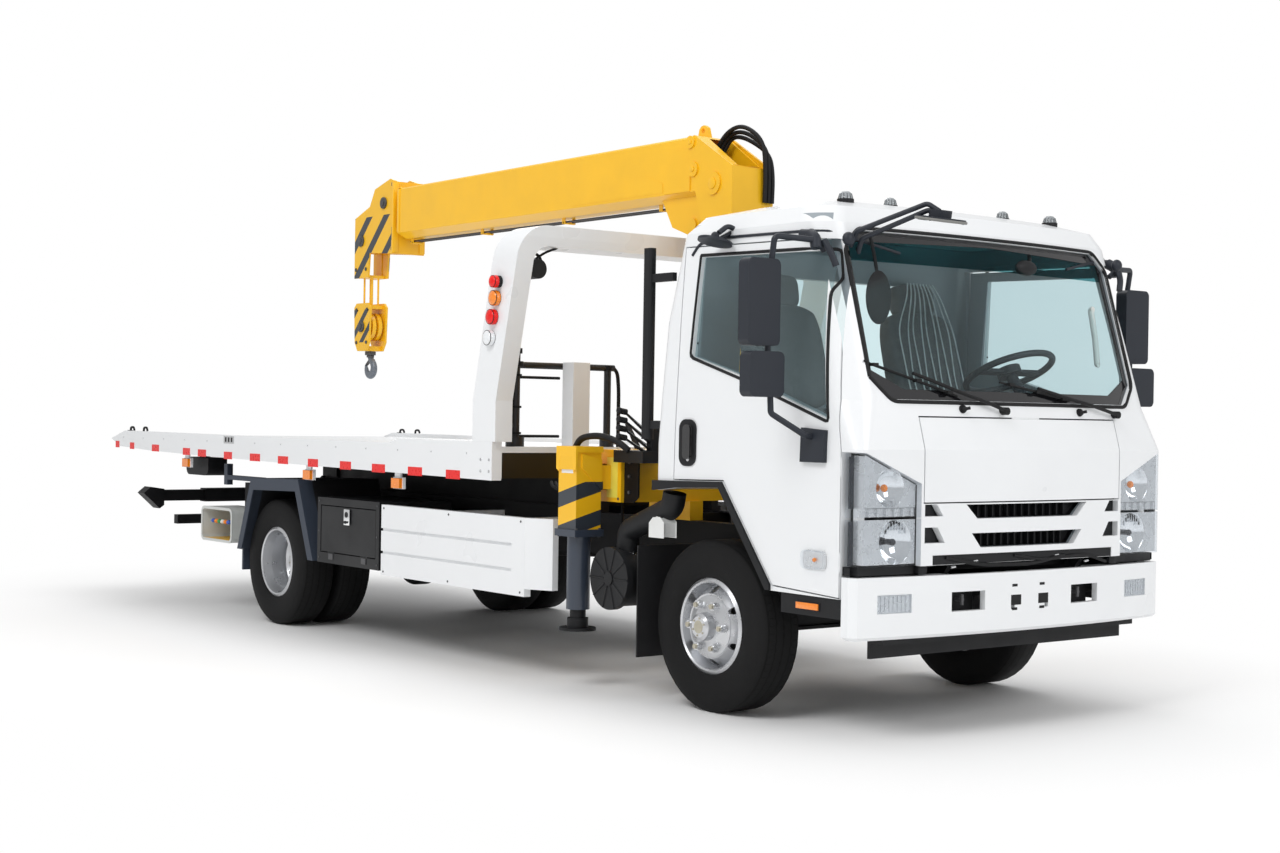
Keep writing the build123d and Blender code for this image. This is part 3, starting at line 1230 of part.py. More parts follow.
def build_all():
    wheels()
    for side, word in ((-1, "right"), (1, "left")):
        add(f"knuckle_{word}", knuckle(side))
    add("axles", front_axle(), rear_axle())
    springs()
    add("frame_rails", frame_rails())
    add("engine", engine())
    add("front_bumper", front_bumper())
    add("air_dam", air_dam())
    add("fuel_tank", *fuel_tank())
    for side, word in ((-1, "right"), (1, "left")):
        add("toolboxes", toolbox(side))
        add(f"toolbox_door_{word}", toolbox_door(side))
        add("side_guards", side_guard(side))
        add("mudguards", rear_mudguard(side))
        add(f"outrigger_{word}", outrigger(side))
        add(f"jack_{word}", jack(side))
        add(f"mirrors_{word}", mirrors(side))
    add("bed_deck", bed_deck())
    add("bed_arch", bed_arch())
    add("bed_lamps", *bed_lamps())
    add("bed_stand", *bed_frame())
    add("tilt_frame", tilt_frame())
    add("lift_sleeve", lift_sleeve())
    add("wheel_lift", wheel_lift())
    add("frame_rails", *tail_fittings())
    add("control_box", control_box())
    add("control_levers", control_valves())
    add("crane_base", crane_base())
    add("control_levers", crane_levers())
    add("crane_column", column())
    add("boom_base", boom())
    add("boom_middle", inner_section(1, boom_head_x - 30, -1450))
    add("boom_tip", boom_tip())
    add("hook_block", hook_block() + hanger())
    add("hook", hook())
    add("luff_barrel", luff_barrel())
    add("luff_rod", luff_rod())
    cab()
    seats()
    dashboard()
    cab_trim()
    roof_fittings()
    add("air_intake", air_cleaner())
    add("snorkel", snorkel())
    add("cab_mirrors", *cab_mirrors())


build_all()

boxes = [solid.bounding_box() for solids in nodes.values() for solid in solids]
centre_x = (min(box.min.X for box in boxes) + max(box.max.X for box in boxes)) / 2
os.makedirs("parts", exist_ok=True)
for name, solids in nodes.items():
    moved = [Pos(-centre_x, 0, 0) * solid for solid in solids]
    export_step(Compound(moved) if len(moved) > 1 else moved[0], f"parts/{name}.step")
print("origin is at", round(centre_x, 3), "in the working frame")
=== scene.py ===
import math

import bmesh
import bpy
from mathutils import Matrix, Vector
from mathutils.bvhtree import BVHTree


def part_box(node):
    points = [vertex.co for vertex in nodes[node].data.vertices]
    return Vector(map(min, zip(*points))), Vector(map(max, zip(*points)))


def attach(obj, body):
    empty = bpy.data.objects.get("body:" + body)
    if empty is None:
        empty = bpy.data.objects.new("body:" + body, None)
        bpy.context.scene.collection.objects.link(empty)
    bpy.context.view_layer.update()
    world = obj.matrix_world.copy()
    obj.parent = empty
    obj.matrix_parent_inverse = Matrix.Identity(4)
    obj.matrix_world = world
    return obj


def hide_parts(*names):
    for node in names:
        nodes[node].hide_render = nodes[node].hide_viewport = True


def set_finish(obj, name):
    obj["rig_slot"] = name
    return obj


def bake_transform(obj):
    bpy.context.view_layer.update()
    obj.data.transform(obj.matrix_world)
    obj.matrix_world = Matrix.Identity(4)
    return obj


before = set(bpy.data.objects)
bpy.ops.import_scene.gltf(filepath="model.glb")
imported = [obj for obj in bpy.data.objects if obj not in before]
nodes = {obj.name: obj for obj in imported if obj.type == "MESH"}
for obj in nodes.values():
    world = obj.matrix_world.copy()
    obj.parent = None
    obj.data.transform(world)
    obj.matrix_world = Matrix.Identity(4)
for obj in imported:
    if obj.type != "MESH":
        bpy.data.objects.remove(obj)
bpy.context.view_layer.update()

# Places below are read in millimetres from the front axle: X forward, Y to the truck's left, Z up.
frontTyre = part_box("tyre_front_right")
originShift = (frontTyre[0].x + frontTyre[1].x) * 500
truck = {"axleHeight": 398, "rearAxleX": -4175, "frontWheelY": 840, "rearWheelYs": (955, 695), "hookX": -4890}
sides = (("right", -1), ("left", 1))


def place(x, y, z):
    return Vector(((x + originShift) / 1000, y / 1000, z / 1000))


def metresX(x):
    return (x + originShift) / 1000


# Materials: a node's number takes plain arithmetic, and each sign adds a Math node
class NodeValue:
    def __init__(self, tree, socket):
        self.tree, self.socket = tree, socket

    def math(self, operation, *others):
        node = self.tree.nodes.new("ShaderNodeMath")
        node.operation = operation
        for socket, value in zip(node.inputs, (self, *others)):
            plug(value, socket)
        return NodeValue(self.tree, node.outputs[0])

    def __add__(self, other):
        return self.math("ADD", other)

    def __sub__(self, other):
        return self.math("SUBTRACT", other)

    def __mul__(self, other):
        return self.math("MULTIPLY", other)

    def __lt__(self, other):
        return self.math("LESS_THAN", other)

    def __gt__(self, other):
        return self.math("GREATER_THAN", other)

    def __abs__(self):
        return self.math("ABSOLUTE")

    def least(self, other):
        return self.math("MINIMUM", other)

    def most(self, other):
        return self.math("MAXIMUM", other)


def plug(value, socket):
    if isinstance(value, NodeValue):
        value = value.socket
    if isinstance(value, bpy.types.NodeSocket):
        socket.id_data.links.new(value, socket)
    elif isinstance(value, tuple):
        socket.default_value = (*value[:3], 1)
    else:
        socket.default_value = value


def setWhole(shader, **values):
    for key, value in values.items():
        plug(value, shader.inputs[key.replace("_", " ")])


def newMaterial(name, **values):
    material = bpy.data.materials.new(name)
    material.use_nodes = True
    tree = material.node_tree
    shader = tree.nodes["Principled BSDF"]
    setWhole(shader, **values)
    return (material, tree, shader, *objectAxes(tree))


def objectAxes(tree):
    vector = tree.nodes.new("ShaderNodeTexCoord").outputs["Object"]
    split = tree.nodes.new("ShaderNodeSeparateXYZ")
    plug(vector, split.inputs[0])
    return (vector, *(NodeValue(tree, axis) for axis in split.outputs))


def noiseOf(tree, vector, scale, detail=3.0):
    noise = tree.nodes.new("ShaderNodeTexNoise")
    setWhole(noise, Scale=scale, Detail=detail)
    plug(vector, noise.inputs["Vector"])
    return noise.outputs["Fac"]


def mapRange(tree, value, fromMin, fromMax, toMin=0.0, toMax=1.0):
    node = tree.nodes.new("ShaderNodeMapRange")
    setWhole(node, Value=value, From_Min=fromMin, From_Max=fromMax, To_Min=toMin, To_Max=toMax)
    return node


def spread(tree, value, low, high):
    return mapRange(tree, value, 0.3, 0.7, low, high).outputs[0]


def mixColour(tree, factor, first, second):
    node = tree.nodes.new("ShaderNodeMix")
    node.data_type = "RGBA"
    for index, value in ((0, factor), (6, first), (7, second)):
        plug(value, node.inputs[index])
    return node.outputs[2]


def clouded(tree, vector, colour, scale, dim):
    return mixColour(tree, noiseOf(tree, vector, scale), tuple(c * dim for c in colour), colour)


def mixShaders(tree, factor, first, second):
    node = tree.nodes.new("ShaderNodeMixShader")
    for socket, value in zip(node.inputs, (factor, first, second)):
        plug(value, socket)
    return node.outputs[0]


def addBump(tree, shader, height, strength, distance):
    bump = tree.nodes.new("ShaderNodeBump")
    setWhole(bump, Strength=strength, Distance=distance, Height=height)
    plug(bump.outputs[0], shader.inputs["Normal"])


def surface(name, colour, roughness=0.4, metallic=0.0, coat=0.0, grain=8.0, vary=0.04, roughVary=0.06,
            bump=0.0, bumpScale=300.0, specular=0.5):
    material, tree, shader, vector = newMaterial(name, Metallic=metallic, Coat_Weight=coat, Coat_Roughness=0.05,
                                                 Specular_IOR_Level=specular)[:4]
    cloud = noiseOf(tree, vector, grain)
    darker, lighter = (tuple(min(1, c * share) for c in colour) for share in (1 - vary, 1 + vary))
    setWhole(shader, Base_Color=mixColour(tree, spread(tree, cloud, 0, 1), darker, lighter),
             Roughness=spread(tree, cloud, roughness - roughVary, roughness + roughVary))
    if bump:
        addBump(tree, shader, noiseOf(tree, vector, bumpScale, 2.0), bump, 0.001)
    return material


look = {
    "whitePaint": (0.83, 0.845, 0.86), "yellowPaint": (0.94, 0.52, 0.008), "stripeGrey": (0.03, 0.038, 0.05),
    "chassisBlack": (0.005, 0.005, 0.006), "greyPlastic": (0.02, 0.024, 0.033),
    "darkPlastic": (0.009, 0.0095, 0.011), "tyreRubber": (0.009, 0.009, 0.0095), "wheelSilver": (0.62, 0.63, 0.65),
    "hookGrey": (0.16, 0.18, 0.21), "seatCloth": (0.12, 0.125, 0.13), "reflectorRed": (0.8, 0.008, 0.006),
    "amber": (0.95, 0.25, 0.01), "blueGrey": (0.032, 0.043, 0.065), "boxBlack": (0.009, 0.0095, 0.011),
    "lining": (0.3, 0.34, 0.37), "printedEdge": (0.01, 0.01, 0.012), "greenBand": (0.16, 0.48, 0.5),
}
lensGrain = {"grain": 60, "vary": 0.1, "bump": 0.2, "bumpScale": 700}

whitePaint = surface("whitePaint", look["whitePaint"], 0.32, coat=0.35, grain=3, vary=0.012)
yellowPaint = surface("yellowPaint", look["yellowPaint"], 0.36, coat=0.25, grain=5, vary=0.03, bump=0.04,
                      bumpScale=160)
chassisBlack = surface("chassisBlack", look["chassisBlack"], 0.5, grain=9, vary=0.25, specular=0.25)
greyPlastic = surface("greyPlastic", look["greyPlastic"], 0.48, grain=6, bump=0.15, bumpScale=900, specular=0.35)
darkPlastic = surface("darkPlastic", look["darkPlastic"], 0.52, grain=6, bump=0.12, bumpScale=800, specular=0.3)
boxBlack = surface("boxBlack", look["boxBlack"], 0.42, grain=5, bump=0.1, bumpScale=500, specular=0.3)
rimSilver = surface("rimSilver", look["wheelSilver"], 0.3, metallic=0.85, grain=12, vary=0.03, bump=0.05,
                    bumpScale=400)
brightSteel = surface("brightSteel", (0.7, 0.71, 0.72), 0.22, metallic=1.0, grain=30, vary=0.04)
castMetal = surface("castMetal", (0.1, 0.1, 0.105), 0.6, metallic=0.4, grain=20, vary=0.2, bump=0.3,
                    bumpScale=200)
hookGrey = surface("hookGrey", look["hookGrey"], 0.42, metallic=0.3, grain=12, bump=0.1, bumpScale=200)
seatCloth = surface("seatCloth", look["seatCloth"], 0.8, grain=40, vary=0.15, bump=0.3, bumpScale=900)
redLens = surface("redLens", look["reflectorRed"], 0.3, coat=0.3, specular=0.3, **lensGrain)
amberLens = surface("amberLens", look["amber"], 0.22, coat=0.8, **lensGrain)
whiteLens = surface("whiteLens", (0.82, 0.84, 0.86), 0.15, coat=0.8, grain=60, vary=0.03, bump=0.15,
                    bumpScale=700)
rubberBlack = surface("rubberBlack", (0.008, 0.008, 0.009), 0.6, grain=20, vary=0.2, specular=0.3)
chrome = surface("chrome", (0.85, 0.86, 0.87), 0.08, metallic=1.0, grain=20, vary=0.02, roughVary=0.03)
palePlastic = surface("palePlastic", (0.62, 0.64, 0.62), 0.4, grain=10)
coverSheet = surface("coverSheet", (0.7, 0.74, 0.75), 0.3, grain=14, vary=0.15, bump=0.6, bumpScale=30)


def glassMaterial(name, tint, opacity):
    material, tree, shader, vector, *axes = newMaterial(name, Roughness=0.02, Base_Color=tint,
                                                        Specular_IOR_Level=0.7, Coat_Weight=0.6)
    clear = tree.nodes.new("ShaderNodeBsdfTransparent")
    pale = tuple(0.35 + 0.65 * c for c in tint)
    plug(mixColour(tree, spread(tree, noiseOf(tree, vector, 2), 0, 0.15), pale, tint), clear.inputs[0])
    slant = tree.nodes.new("ShaderNodeLayerWeight")
    slant.inputs["Blend"].default_value = 0.5
    share = NodeValue(tree, slant.outputs["Facing"]).math("POWER", 4.0).math("MULTIPLY_ADD", 0.55, opacity)
    glass = mixShaders(tree, share, clear.outputs[0], shader.outputs[0])
    plug(glass, tree.nodes["Material Output"].inputs["Surface"])
    return material, tree, glass, vector, *axes


sideGlass = glassMaterial("sideGlass", (0.72, 0.82, 0.84), 0.05)[0]
clearLens = glassMaterial("clearLens", (0.9, 0.92, 0.94), 0.02)[0]

# Windscreen with its black printed edge and green band at the top, in metres
screenPrint = {"sideY": 0.878, "topZ": 2.152, "bandZ": 2.045, "lowZ": 1.492, "cornerZ": 1.155, "cornerSlope": 0.49,
               "frontX": 2.93, "bandDepth": 0.75}


def screenGlass():
    material, tree, glass, vector, xAxis, yAxis, zAxis = glassMaterial("screenGlass", (0.86, 0.94, 0.95), 0.015)
    reach = abs(yAxis)
    front = xAxis > screenPrint["frontX"]
    edge = (reach + zAxis * 0.02 > screenPrint["sideY"]).most(zAxis + reach * 0.03 > screenPrint["topZ"])
    corner = reach.math("MULTIPLY_ADD", screenPrint["cornerSlope"], screenPrint["cornerZ"])
    edge = edge.most(zAxis < corner.most(screenPrint["lowZ"])) * front
    printed = tree.nodes.new("ShaderNodeBsdfPrincipled")
    setWhole(printed, Base_Color=look["printedEdge"], Roughness=0.12, Coat_Weight=0.6)
    shade = tree.nodes.new("ShaderNodeBsdfTransparent")
    plug(mixColour(tree, noiseOf(tree, vector, 2), (0.12, 0.42, 0.45), look["greenBand"]), shade.inputs[0])
    band = (zAxis > screenPrint["bandZ"]) * front * screenPrint["bandDepth"]
    banded = mixShaders(tree, band, glass, shade.outputs[0])
    plug(mixShaders(tree, edge, banded, printed.outputs[0]), tree.nodes["Material Output"].inputs["Surface"])
    return material


# Slanted warning stripes on yellow paint, between two heights and beyond a distance from the middle
def stripedPaint(name, lowZ, highZ, pitch, duty, slope, start, beyondY, darkBelow=None, behindX=None):
    material, tree, shader, vector, xAxis, yAxis, zAxis = newMaterial(name, Roughness=0.36, Coat_Weight=0.25)
    phase = (zAxis - (xAxis + yAxis) * slope - start).math("DIVIDE", pitch).math("FRACT")
    stripe = (phase < duty) * ((zAxis > lowZ) * (zAxis < highZ)) * (abs(yAxis) > beyondY)
    if behindX is not None:
        stripe *= xAxis < behindX
    colour = mixColour(tree, stripe, clouded(tree, vector, look["yellowPaint"], 6, 0.96), look["stripeGrey"])
    if darkBelow:
        colour = mixColour(tree, zAxis < darkBelow, colour, look["blueGrey"])
    plug(colour, shader.inputs["Base Color"])
    return material


# Tyre rubber: ribbed sidewalls and a tread of grooves and blocks, in metres and counts around the wheel
treadLook = {"waves": 60, "waveDepth": 0.0018, "groovePitch": 0.022, "grooveHalf": 0.0045, "sipes": 72,
             "sipeShare": 0.12, "shoulder": 0.058, "treadFrom": 0.3935, "ringDensity": 900, "ringsWithin": 0.385}


def tyreMaterial(name, centreX, wheelYs):
    material, tree, shader, vector, xAxis, yAxis, zAxis = newMaterial(name, Roughness=0.72, Specular_IOR_Level=0.2)
    dx = xAxis - metresX(centreX)
    dz = zAxis - truck["axleHeight"] / 1000
    radius = (dx * dx + dz * dz).math("SQRT")
    angle = dz.math("ARCTAN2", dx)
    reach = abs(yAxis)
    offset = abs(reach - wheelYs[0] / 1000)
    for wheelY in wheelYs[1:]:
        offset = offset.least(abs(reach - wheelY / 1000))
    wave = (angle * treadLook["waves"]).math("SINE") * treadLook["waveDepth"]
    grooves = (offset + wave).math("PINGPONG", treadLook["groovePitch"]) < treadLook["grooveHalf"]
    around = (angle * (treadLook["sipes"] / math.tau)).math("FRACT")
    sipes = (around < treadLook["sipeShare"]) * (offset > treadLook["shoulder"])
    cut = grooves.most(sipes) * (radius > treadLook["treadFrom"])
    rings = ((radius * treadLook["ringDensity"]).math("SINE") > 0.75) * (radius < treadLook["ringsWithin"])
    addBump(tree, shader, rings * 0.12 - cut, 0.8, 0.006)
    rubber = clouded(tree, vector, look["tyreRubber"], 12, 0.85)
    # Tread grooves are painted darker than the rubber: painted shade inside the grooves
    plug(mixColour(tree, cut, rubber, (0.004, 0.004, 0.004)), shader.inputs["Base Color"])
    return material


# Black mudguards whose outer rim is blue grey
def mudguardMaterial():
    material, tree, shader, vector, xAxis, yAxis, _ = newMaterial("mudguardRubber", Roughness=0.55)
    rim = (abs(yAxis) > 1.03) * (xAxis < 0.4)
    rubber = mixColour(tree, noiseOf(tree, vector, 20), (0.01, 0.01, 0.011), (0.016, 0.016, 0.018))
    plug(mixColour(tree, rim, rubber, look["blueGrey"]), shader.inputs["Base Color"])
    return material


# Bed: white paint with a raised grip pattern on the deck's top face
def bedMaterial():
    material, tree, shader, vector, xAxis, yAxis, zAxis = newMaterial("bedPaint", Roughness=0.36, Coat_Weight=0.3)
    inner = abs(yAxis) < 1.088
    hidden = (zAxis < 1.158) * inner
    white = clouded(tree, vector, look["whitePaint"], 3, 0.975)
    plug(mixColour(tree, hidden, white, look["chassisBlack"]), shader.inputs["Base Color"])
    lugs = ((xAxis + yAxis) * 150).math("SINE") * ((xAxis - yAxis) * 150).math("SINE") > 0.55
    addBump(tree, shader, lugs * (inner * (zAxis > 1.166)), 0.4, 0.002)
    return material


# Cab and doors: white outside, grey lining inside, black below the floor
# Each row gives how far the front leans back per metre, from which height, and where it starts
cabFront = ((0, 1.235, 1.08), (0.224, 1.235, 1.08), (0.278, 1.44, 1.034), (0.2976, 1.8, 0.934),
            (0.56, 2.21, 0.812))


def cabPaint():
    material, tree, shader, vector, xAxis, yAxis, zAxis = newMaterial("cabPaint", Roughness=0.33, Coat_Weight=0.35,
                                                                      Coat_Roughness=0.05)
    reach = abs(yAxis)
    lines = [zAxis.math("MULTIPLY_ADD", -lean, startX + lean * startZ + originShift / 1000 - 0.03)
             for lean, startZ, startX in cabFront]
    front = lines[0]
    for line in lines[1:]:
        front = front.least(line)
    front -= reach * reach * 0.055
    side = zAxis.math("MULTIPLY_ADD", -0.034, 1.032).least(0.985)
    inside = (xAxis < front) * (reach < side) * (xAxis + reach < front + 0.9) * (xAxis > metresX(-300))
    inside *= zAxis < 2.25
    below = (zAxis < 1.085) * (reach < 0.955) * (xAxis < metresX(1030))
    lined = mixColour(tree, inside, clouded(tree, vector, look["whitePaint"], 3, 0.985), look["lining"])
    plug(mixColour(tree, below, lined, look["chassisBlack"]), shader.inputs["Base Color"])
    return material


# Stand behind the cab: black bars and a white post
def standMaterial():
    material, tree, shader, vector, xAxis, yAxis, _ = newMaterial("standPaint", Roughness=0.42, Coat_Weight=0.2)
    post = (abs(yAxis + 0.57) < 0.0585) * (xAxis > metresX(-1655))
    white = clouded(tree, vector, look["whitePaint"], 4, 0.97)
    plug(mixColour(tree, post, look["chassisBlack"], white), shader.inputs["Base Color"])
    return material


# Heights, pitch, share, slope and start of each set of stripes, in metres
stripes = {"leg": (0.79, 1.03, 0.166, 0.46, 0.28, 0.719, 0.9, 0.7922),
           "head": (2.3, 2.72, 0.24, 0.36, 1.0, 0.0, 0.08),
           "block": (1.85, 2.08, 0.15, 0.4, 1.0, 0.0, 0.0705), "headRearX": -4380}
materialOf = {
    "mudguards": mudguardMaterial(), "cab_shell": cabPaint(), "cab_glass": screenGlass(),
    "door_right": cabPaint(), "door_left": cabPaint(), "bed_deck": bedMaterial(), "bed_stand": standMaterial(),
    "outrigger_right": stripedPaint("legStripes", *stripes["leg"]),
    "outrigger_left": stripedPaint("legStripesLeft", *stripes["leg"]),
    "boom_tip": stripedPaint("headStripes", *stripes["head"], behindX=metresX(stripes["headRearX"])),
    "hook_block": stripedPaint("blockStripes", *stripes["block"]),
}
for material, names in (
        (chassisBlack, "frame_rails axles leaf_springs fuel_tank tilt_frame lift_sleeve wheel_lift"),
        (darkPlastic, "snorkel bed_lamps air_dam control_levers air_intake cab_trim jack_right jack_left"),
        (greyPlastic, "cab_mirrors cab_dash mirrors_right mirrors_left"),
        (castMetal, "engine knuckle_right knuckle_left"),
        (whitePaint, "front_bumper side_guards front_lid bed_arch"),
        (boxBlack, "toolboxes toolbox_door_right toolbox_door_left"),
        (yellowPaint, "crane_base crane_column boom_base boom_middle luff_barrel"),
        (rimSilver, "rim_front_right rim_front_left rims_rear_right rims_rear_left"),
        (palePlastic, "control_box"), (seatCloth, "cab_seats"), (brightSteel, "luff_rod"), (hookGrey, "hook"),
        (whiteLens, "cab_lamps"), (sideGlass, "door_glass_right door_glass_left")):
    materialOf.update(dict.fromkeys(names.split(), material))
for side in ("right", "left"):
    materialOf[f"tyre_front_{side}"] = tyreMaterial(f"tyreFront{side.title()}", 0, (truck["frontWheelY"],))
    materialOf[f"tyres_rear_{side}"] = tyreMaterial(f"tyreRear{side.title()}", truck["rearAxleX"],
                                                    truck["rearWheelYs"])

for name, node in nodes.items():
    node.data.materials.clear()
    node.data.materials.append(materialOf[name])
print("stage: materials")

slotOf = {
    "whitePaint": "white_paint", "yellowPaint": "crane_yellow", "chassisBlack": "chassis_paint",
    "greyPlastic": "grey_plastic", "darkPlastic": "dark_plastic", "boxBlack": "black_paint",
    "rimSilver": "wheel_silver", "brightSteel": "brushed_steel", "castMetal": "engine_metal",
    "hookGrey": "hook_grey", "seatCloth": "seat_fabric", "redLens": "lamp_lens", "amberLens": "lamp_lens",
    "whiteLens": "lamp_lens", "clearLens": "lamp_lens", "rubberBlack": "black_rubber", "chrome": "brushed_steel",
    "sideGlass": "glass",
}


# Shapes
def startMeshes(count):
    return [bmesh.new() for _ in range(count)]


def linkMesh(bm, name):
    mesh = bpy.data.meshes.new(name)
    bm.to_mesh(mesh)
    bm.free()
    piece = bpy.data.objects.new(name, mesh)
    bpy.context.scene.collection.objects.link(piece)
    return piece


def endMesh(bm, name, body, material, angle=32, bevel=0.0, recalc=True):
    bmesh.ops.remove_doubles(bm, verts=bm.verts, dist=0.00001)
    if bevel:
        sharp = [e for e in bm.edges if len(e.link_faces) == 2 and e.calc_face_angle(0) > math.radians(50)]
        bmesh.ops.bevel(bm, geom=sharp, offset=bevel / 1000, affect="EDGES", segments=2, profile=0.5,
                        material=-1, clamp_overlap=True)
    if recalc:
        bmesh.ops.recalc_face_normals(bm, faces=bm.faces)
    for face in bm.faces:
        face.smooth = True
    for edge in bm.edges:
        edge.smooth = len(edge.link_faces) == 2 and edge.calc_face_angle(0) < math.radians(angle)
    piece = linkMesh(bm, name)
    piece.data.materials.append(material)
    if body:
        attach(piece, body)
    if material.name in slotOf:
        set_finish(piece, slotOf[material.name])
    return piece


def addBox(bm, x, y, z):
    low = place(min(x), min(y), min(z))
    high = place(max(x), max(y), max(z))
    matrix = Matrix.Translation((low + high) / 2) @ Matrix.Diagonal((*(high - low), 1))
    bmesh.ops.create_cube(bm, size=1, matrix=matrix)


def addRod(bm, start, end, radius, segments=20, endRadius=None):
    first, last = place(*start), place(*end)
    line = last - first
    turn = line.to_track_quat("Z", "Y").to_matrix().to_4x4()
    top = radius if endRadius is None else endRadius
    matrix = Matrix.Translation((first + last) / 2) @ turn
    bmesh.ops.create_cone(bm, cap_ends=True, cap_tris=False, segments=segments, radius1=radius / 1000,
                          radius2=top / 1000, depth=line.length, matrix=matrix)


def addPeg(bm, x, y, z, radius, segments=20):
    # Rod along one axis, the one that is given as a pair of ends
    addRod(bm, *([v[end] if isinstance(v, tuple) else v for v in (x, y, z)] for end in (0, 1)), radius, segments)


def addBall(bm, centre, radius, squash=(1, 1, 1), segments=20):
    matrix = Matrix.Translation(place(*centre)) @ Matrix.Diagonal((*squash, 1))
    bmesh.ops.create_uvsphere(bm, u_segments=segments, v_segments=segments // 2, radius=radius / 1000,
                              matrix=matrix)


def bridge(bm, first, second):
    for k in range(len(first)):
        other = (k + 1) % len(first)
        bm.faces.new((first[k], first[other], second[other], second[k]))


def addPrism(bm, points, axis, low, high):
    corners = {"y": lambda a, b, t: place(a, t, b), "x": lambda a, b, t: place(t, a, b),
               "z": lambda a, b, t: place(a, b, t)}[axis]
    near, far = ([bm.verts.new(corners(a, b, end)) for a, b in points] for end in (low, high))
    bm.faces.new(near)
    bm.faces.new(list(reversed(far)))
    bridge(bm, near, far)


def roundedPath(points, bend, steps=6):
    path = [Vector(points[0])]
    for index in range(1, len(points) - 1):
        before, corner, after = (Vector(points[index + k]) for k in (-1, 0, 1))
        first, last = (corner + (end - corner).normalized() * min(bend, (end - corner).length * 0.48)
                       for end in (before, after))
        for step in range(steps + 1):
            t = step / steps
            path.append(first * (1 - t) ** 2 + corner * 2 * t * (1 - t) + last * t * t)
    return path + [Vector(points[-1])]


def turnAngles(segments):
    return [math.tau * k / segments for k in range(segments)]


def addTube(bm, points, radius, bend=40, segments=10, steps=6):
    path = [place(*p) for p in roundedPath(points, bend, steps)]
    rings = []
    up = Vector((0.13, 0.21, 0.97)).normalized()
    for index, point in enumerate(path):
        ahead = path[min(index + 1, len(path) - 1)] - path[max(index - 1, 0)]
        ahead.normalize()
        sideways = ahead.cross(up)
        if sideways.length < 0.2:
            sideways = ahead.cross(Vector((1, 0, 0)))
        sideways.normalize()
        up = sideways.cross(ahead).normalized()
        rings.append([bm.verts.new(point + (sideways * math.cos(a) + up * math.sin(a)) * radius / 1000)
                      for a in turnAngles(segments)])
    for low, high in zip(rings, rings[1:]):
        bridge(bm, low, high)
    bm.faces.new(list(reversed(rings[0])))
    bm.faces.new(rings[-1])


def addTurned(bm, profile, centre, axis="x", segments=36, closed=True, squeeze=1.0):
    # profile: (radius, distance along the axis)
    def point(radius, along, angle):
        a, b = radius * math.cos(angle), radius * math.sin(angle) * squeeze
        offset = {"x": (along, a, b), "y": (a, along, b), "z": (a, b, along)}[axis]
        return place(*(c + o for c, o in zip(centre, offset)))
    rings = [[bm.verts.new(point(r, d, a)) for a in turnAngles(segments)] for r, d in profile]
    for low, high in list(zip(rings, rings[1:])) + ([(rings[-1], rings[0])] if closed else []):
        bridge(bm, low, high)


def mirrorAcross(piece, body, name):
    mesh = piece.data.copy()
    mesh.transform(Matrix.Diagonal((1, -1, 1, 1)))
    mesh.flip_normals()
    other = bpy.data.objects.new(name, mesh)
    bpy.context.scene.collection.objects.link(other)
    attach(other, body)
    if "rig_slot" in piece:
        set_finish(other, piece["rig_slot"])


def sampled(points, step=45, closed=False):
    path = list(points) + ([points[0]] if closed else [])
    result = []
    for first, last in zip(path, path[1:]):
        count = max(1, round(math.dist(first, last) / step))
        result += [tuple(a + (b - a) * k / count for a, b in zip(first, last)) for k in range(count)]
    return result + [tuple(path[-1])]


def roundedOutline(x, z, corner, steps=5):
    points = []
    for cx, cz, start in ((x[1] - corner, z[1] - corner, 0), (x[0] + corner, z[1] - corner, 90),
                          (x[0] + corner, z[0] + corner, 180), (x[1] - corner, z[0] + corner, 270)):
        for k in range(steps + 1):
            a = math.radians(start + 90 * k / steps)
            points.append((cx + corner * math.cos(a), cz + corner * math.sin(a)))
    return points


# Skin finder: where a straight look from outside meets the CAD surface
skinTrees = {}
cabNames = ("cab_shell", "front_lid", "cab_glass", "cab_lamps", "door_right", "door_left", "door_glass_right",
            "door_glass_left")


def skinHit(names, start, direction):
    if names not in skinTrees:
        verts, faces = [], []
        for name in names:
            mesh = nodes[name].data
            base = len(verts)
            verts += [v.co.copy() for v in mesh.vertices]
            faces += [[base + k for k in p.vertices] for p in mesh.polygons]
        skinTrees[names] = BVHTree.FromPolygons(verts, faces)
    return skinTrees[names].ray_cast(place(*start), Vector(direction))[0]


def frontX(y, z, names=cabNames):
    hit = skinHit(names, (2500, y, z), (-1, 0, 0))
    return hit.x * 1000 - originShift if hit else 1080


def sideY(x, z, side, names=cabNames):
    hit = skinHit(names, (x, side * 2500, z), (0, -side, 0))
    return hit.y * 1000 if hit else side * 1020


def topZ(x, y, names=cabNames):
    hit = skinHit(names, (x, y, 4000), (0, 0, -1))
    return hit.z * 1000 if hit else 2325


# Tyres
tyreShape = {"segments": 44, "treadRadius": 398, "halfWidth": 116.5}


def makeTyre(x, wheelYs, side, name, body, node):
    bm = bmesh.new()
    half, top = tyreShape["halfWidth"], tyreShape["treadRadius"]
    # (radius, distance outward) of the inner half; the outer half mirrors it
    flank = [(222, 22), (240, 7), (300, 0), (345, 3), (381, 13), (top, 29)]
    profile = [(r, d - half) for r, d in flank] + [(r, half - d) for r, d in reversed(flank)]
    z = truck["axleHeight"]
    for wheelY in wheelYs:
        verts = [bm.verts.new(place(x + r, side * (wheelY + d), z)) for r, d in profile]
        edges = [bm.edges.new(pair) for pair in zip(verts, verts[1:])]
        bmesh.ops.spin(bm, geom=verts + edges, cent=place(x, side * wheelY, z), axis=(0, 1, 0), angle=math.tau,
                       steps=tyreShape["segments"], use_duplicate=False)
    tyre = endMesh(bm, name, body, materialOf[node], angle=50)
    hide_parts(node)
    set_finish(tyre, "tyre")


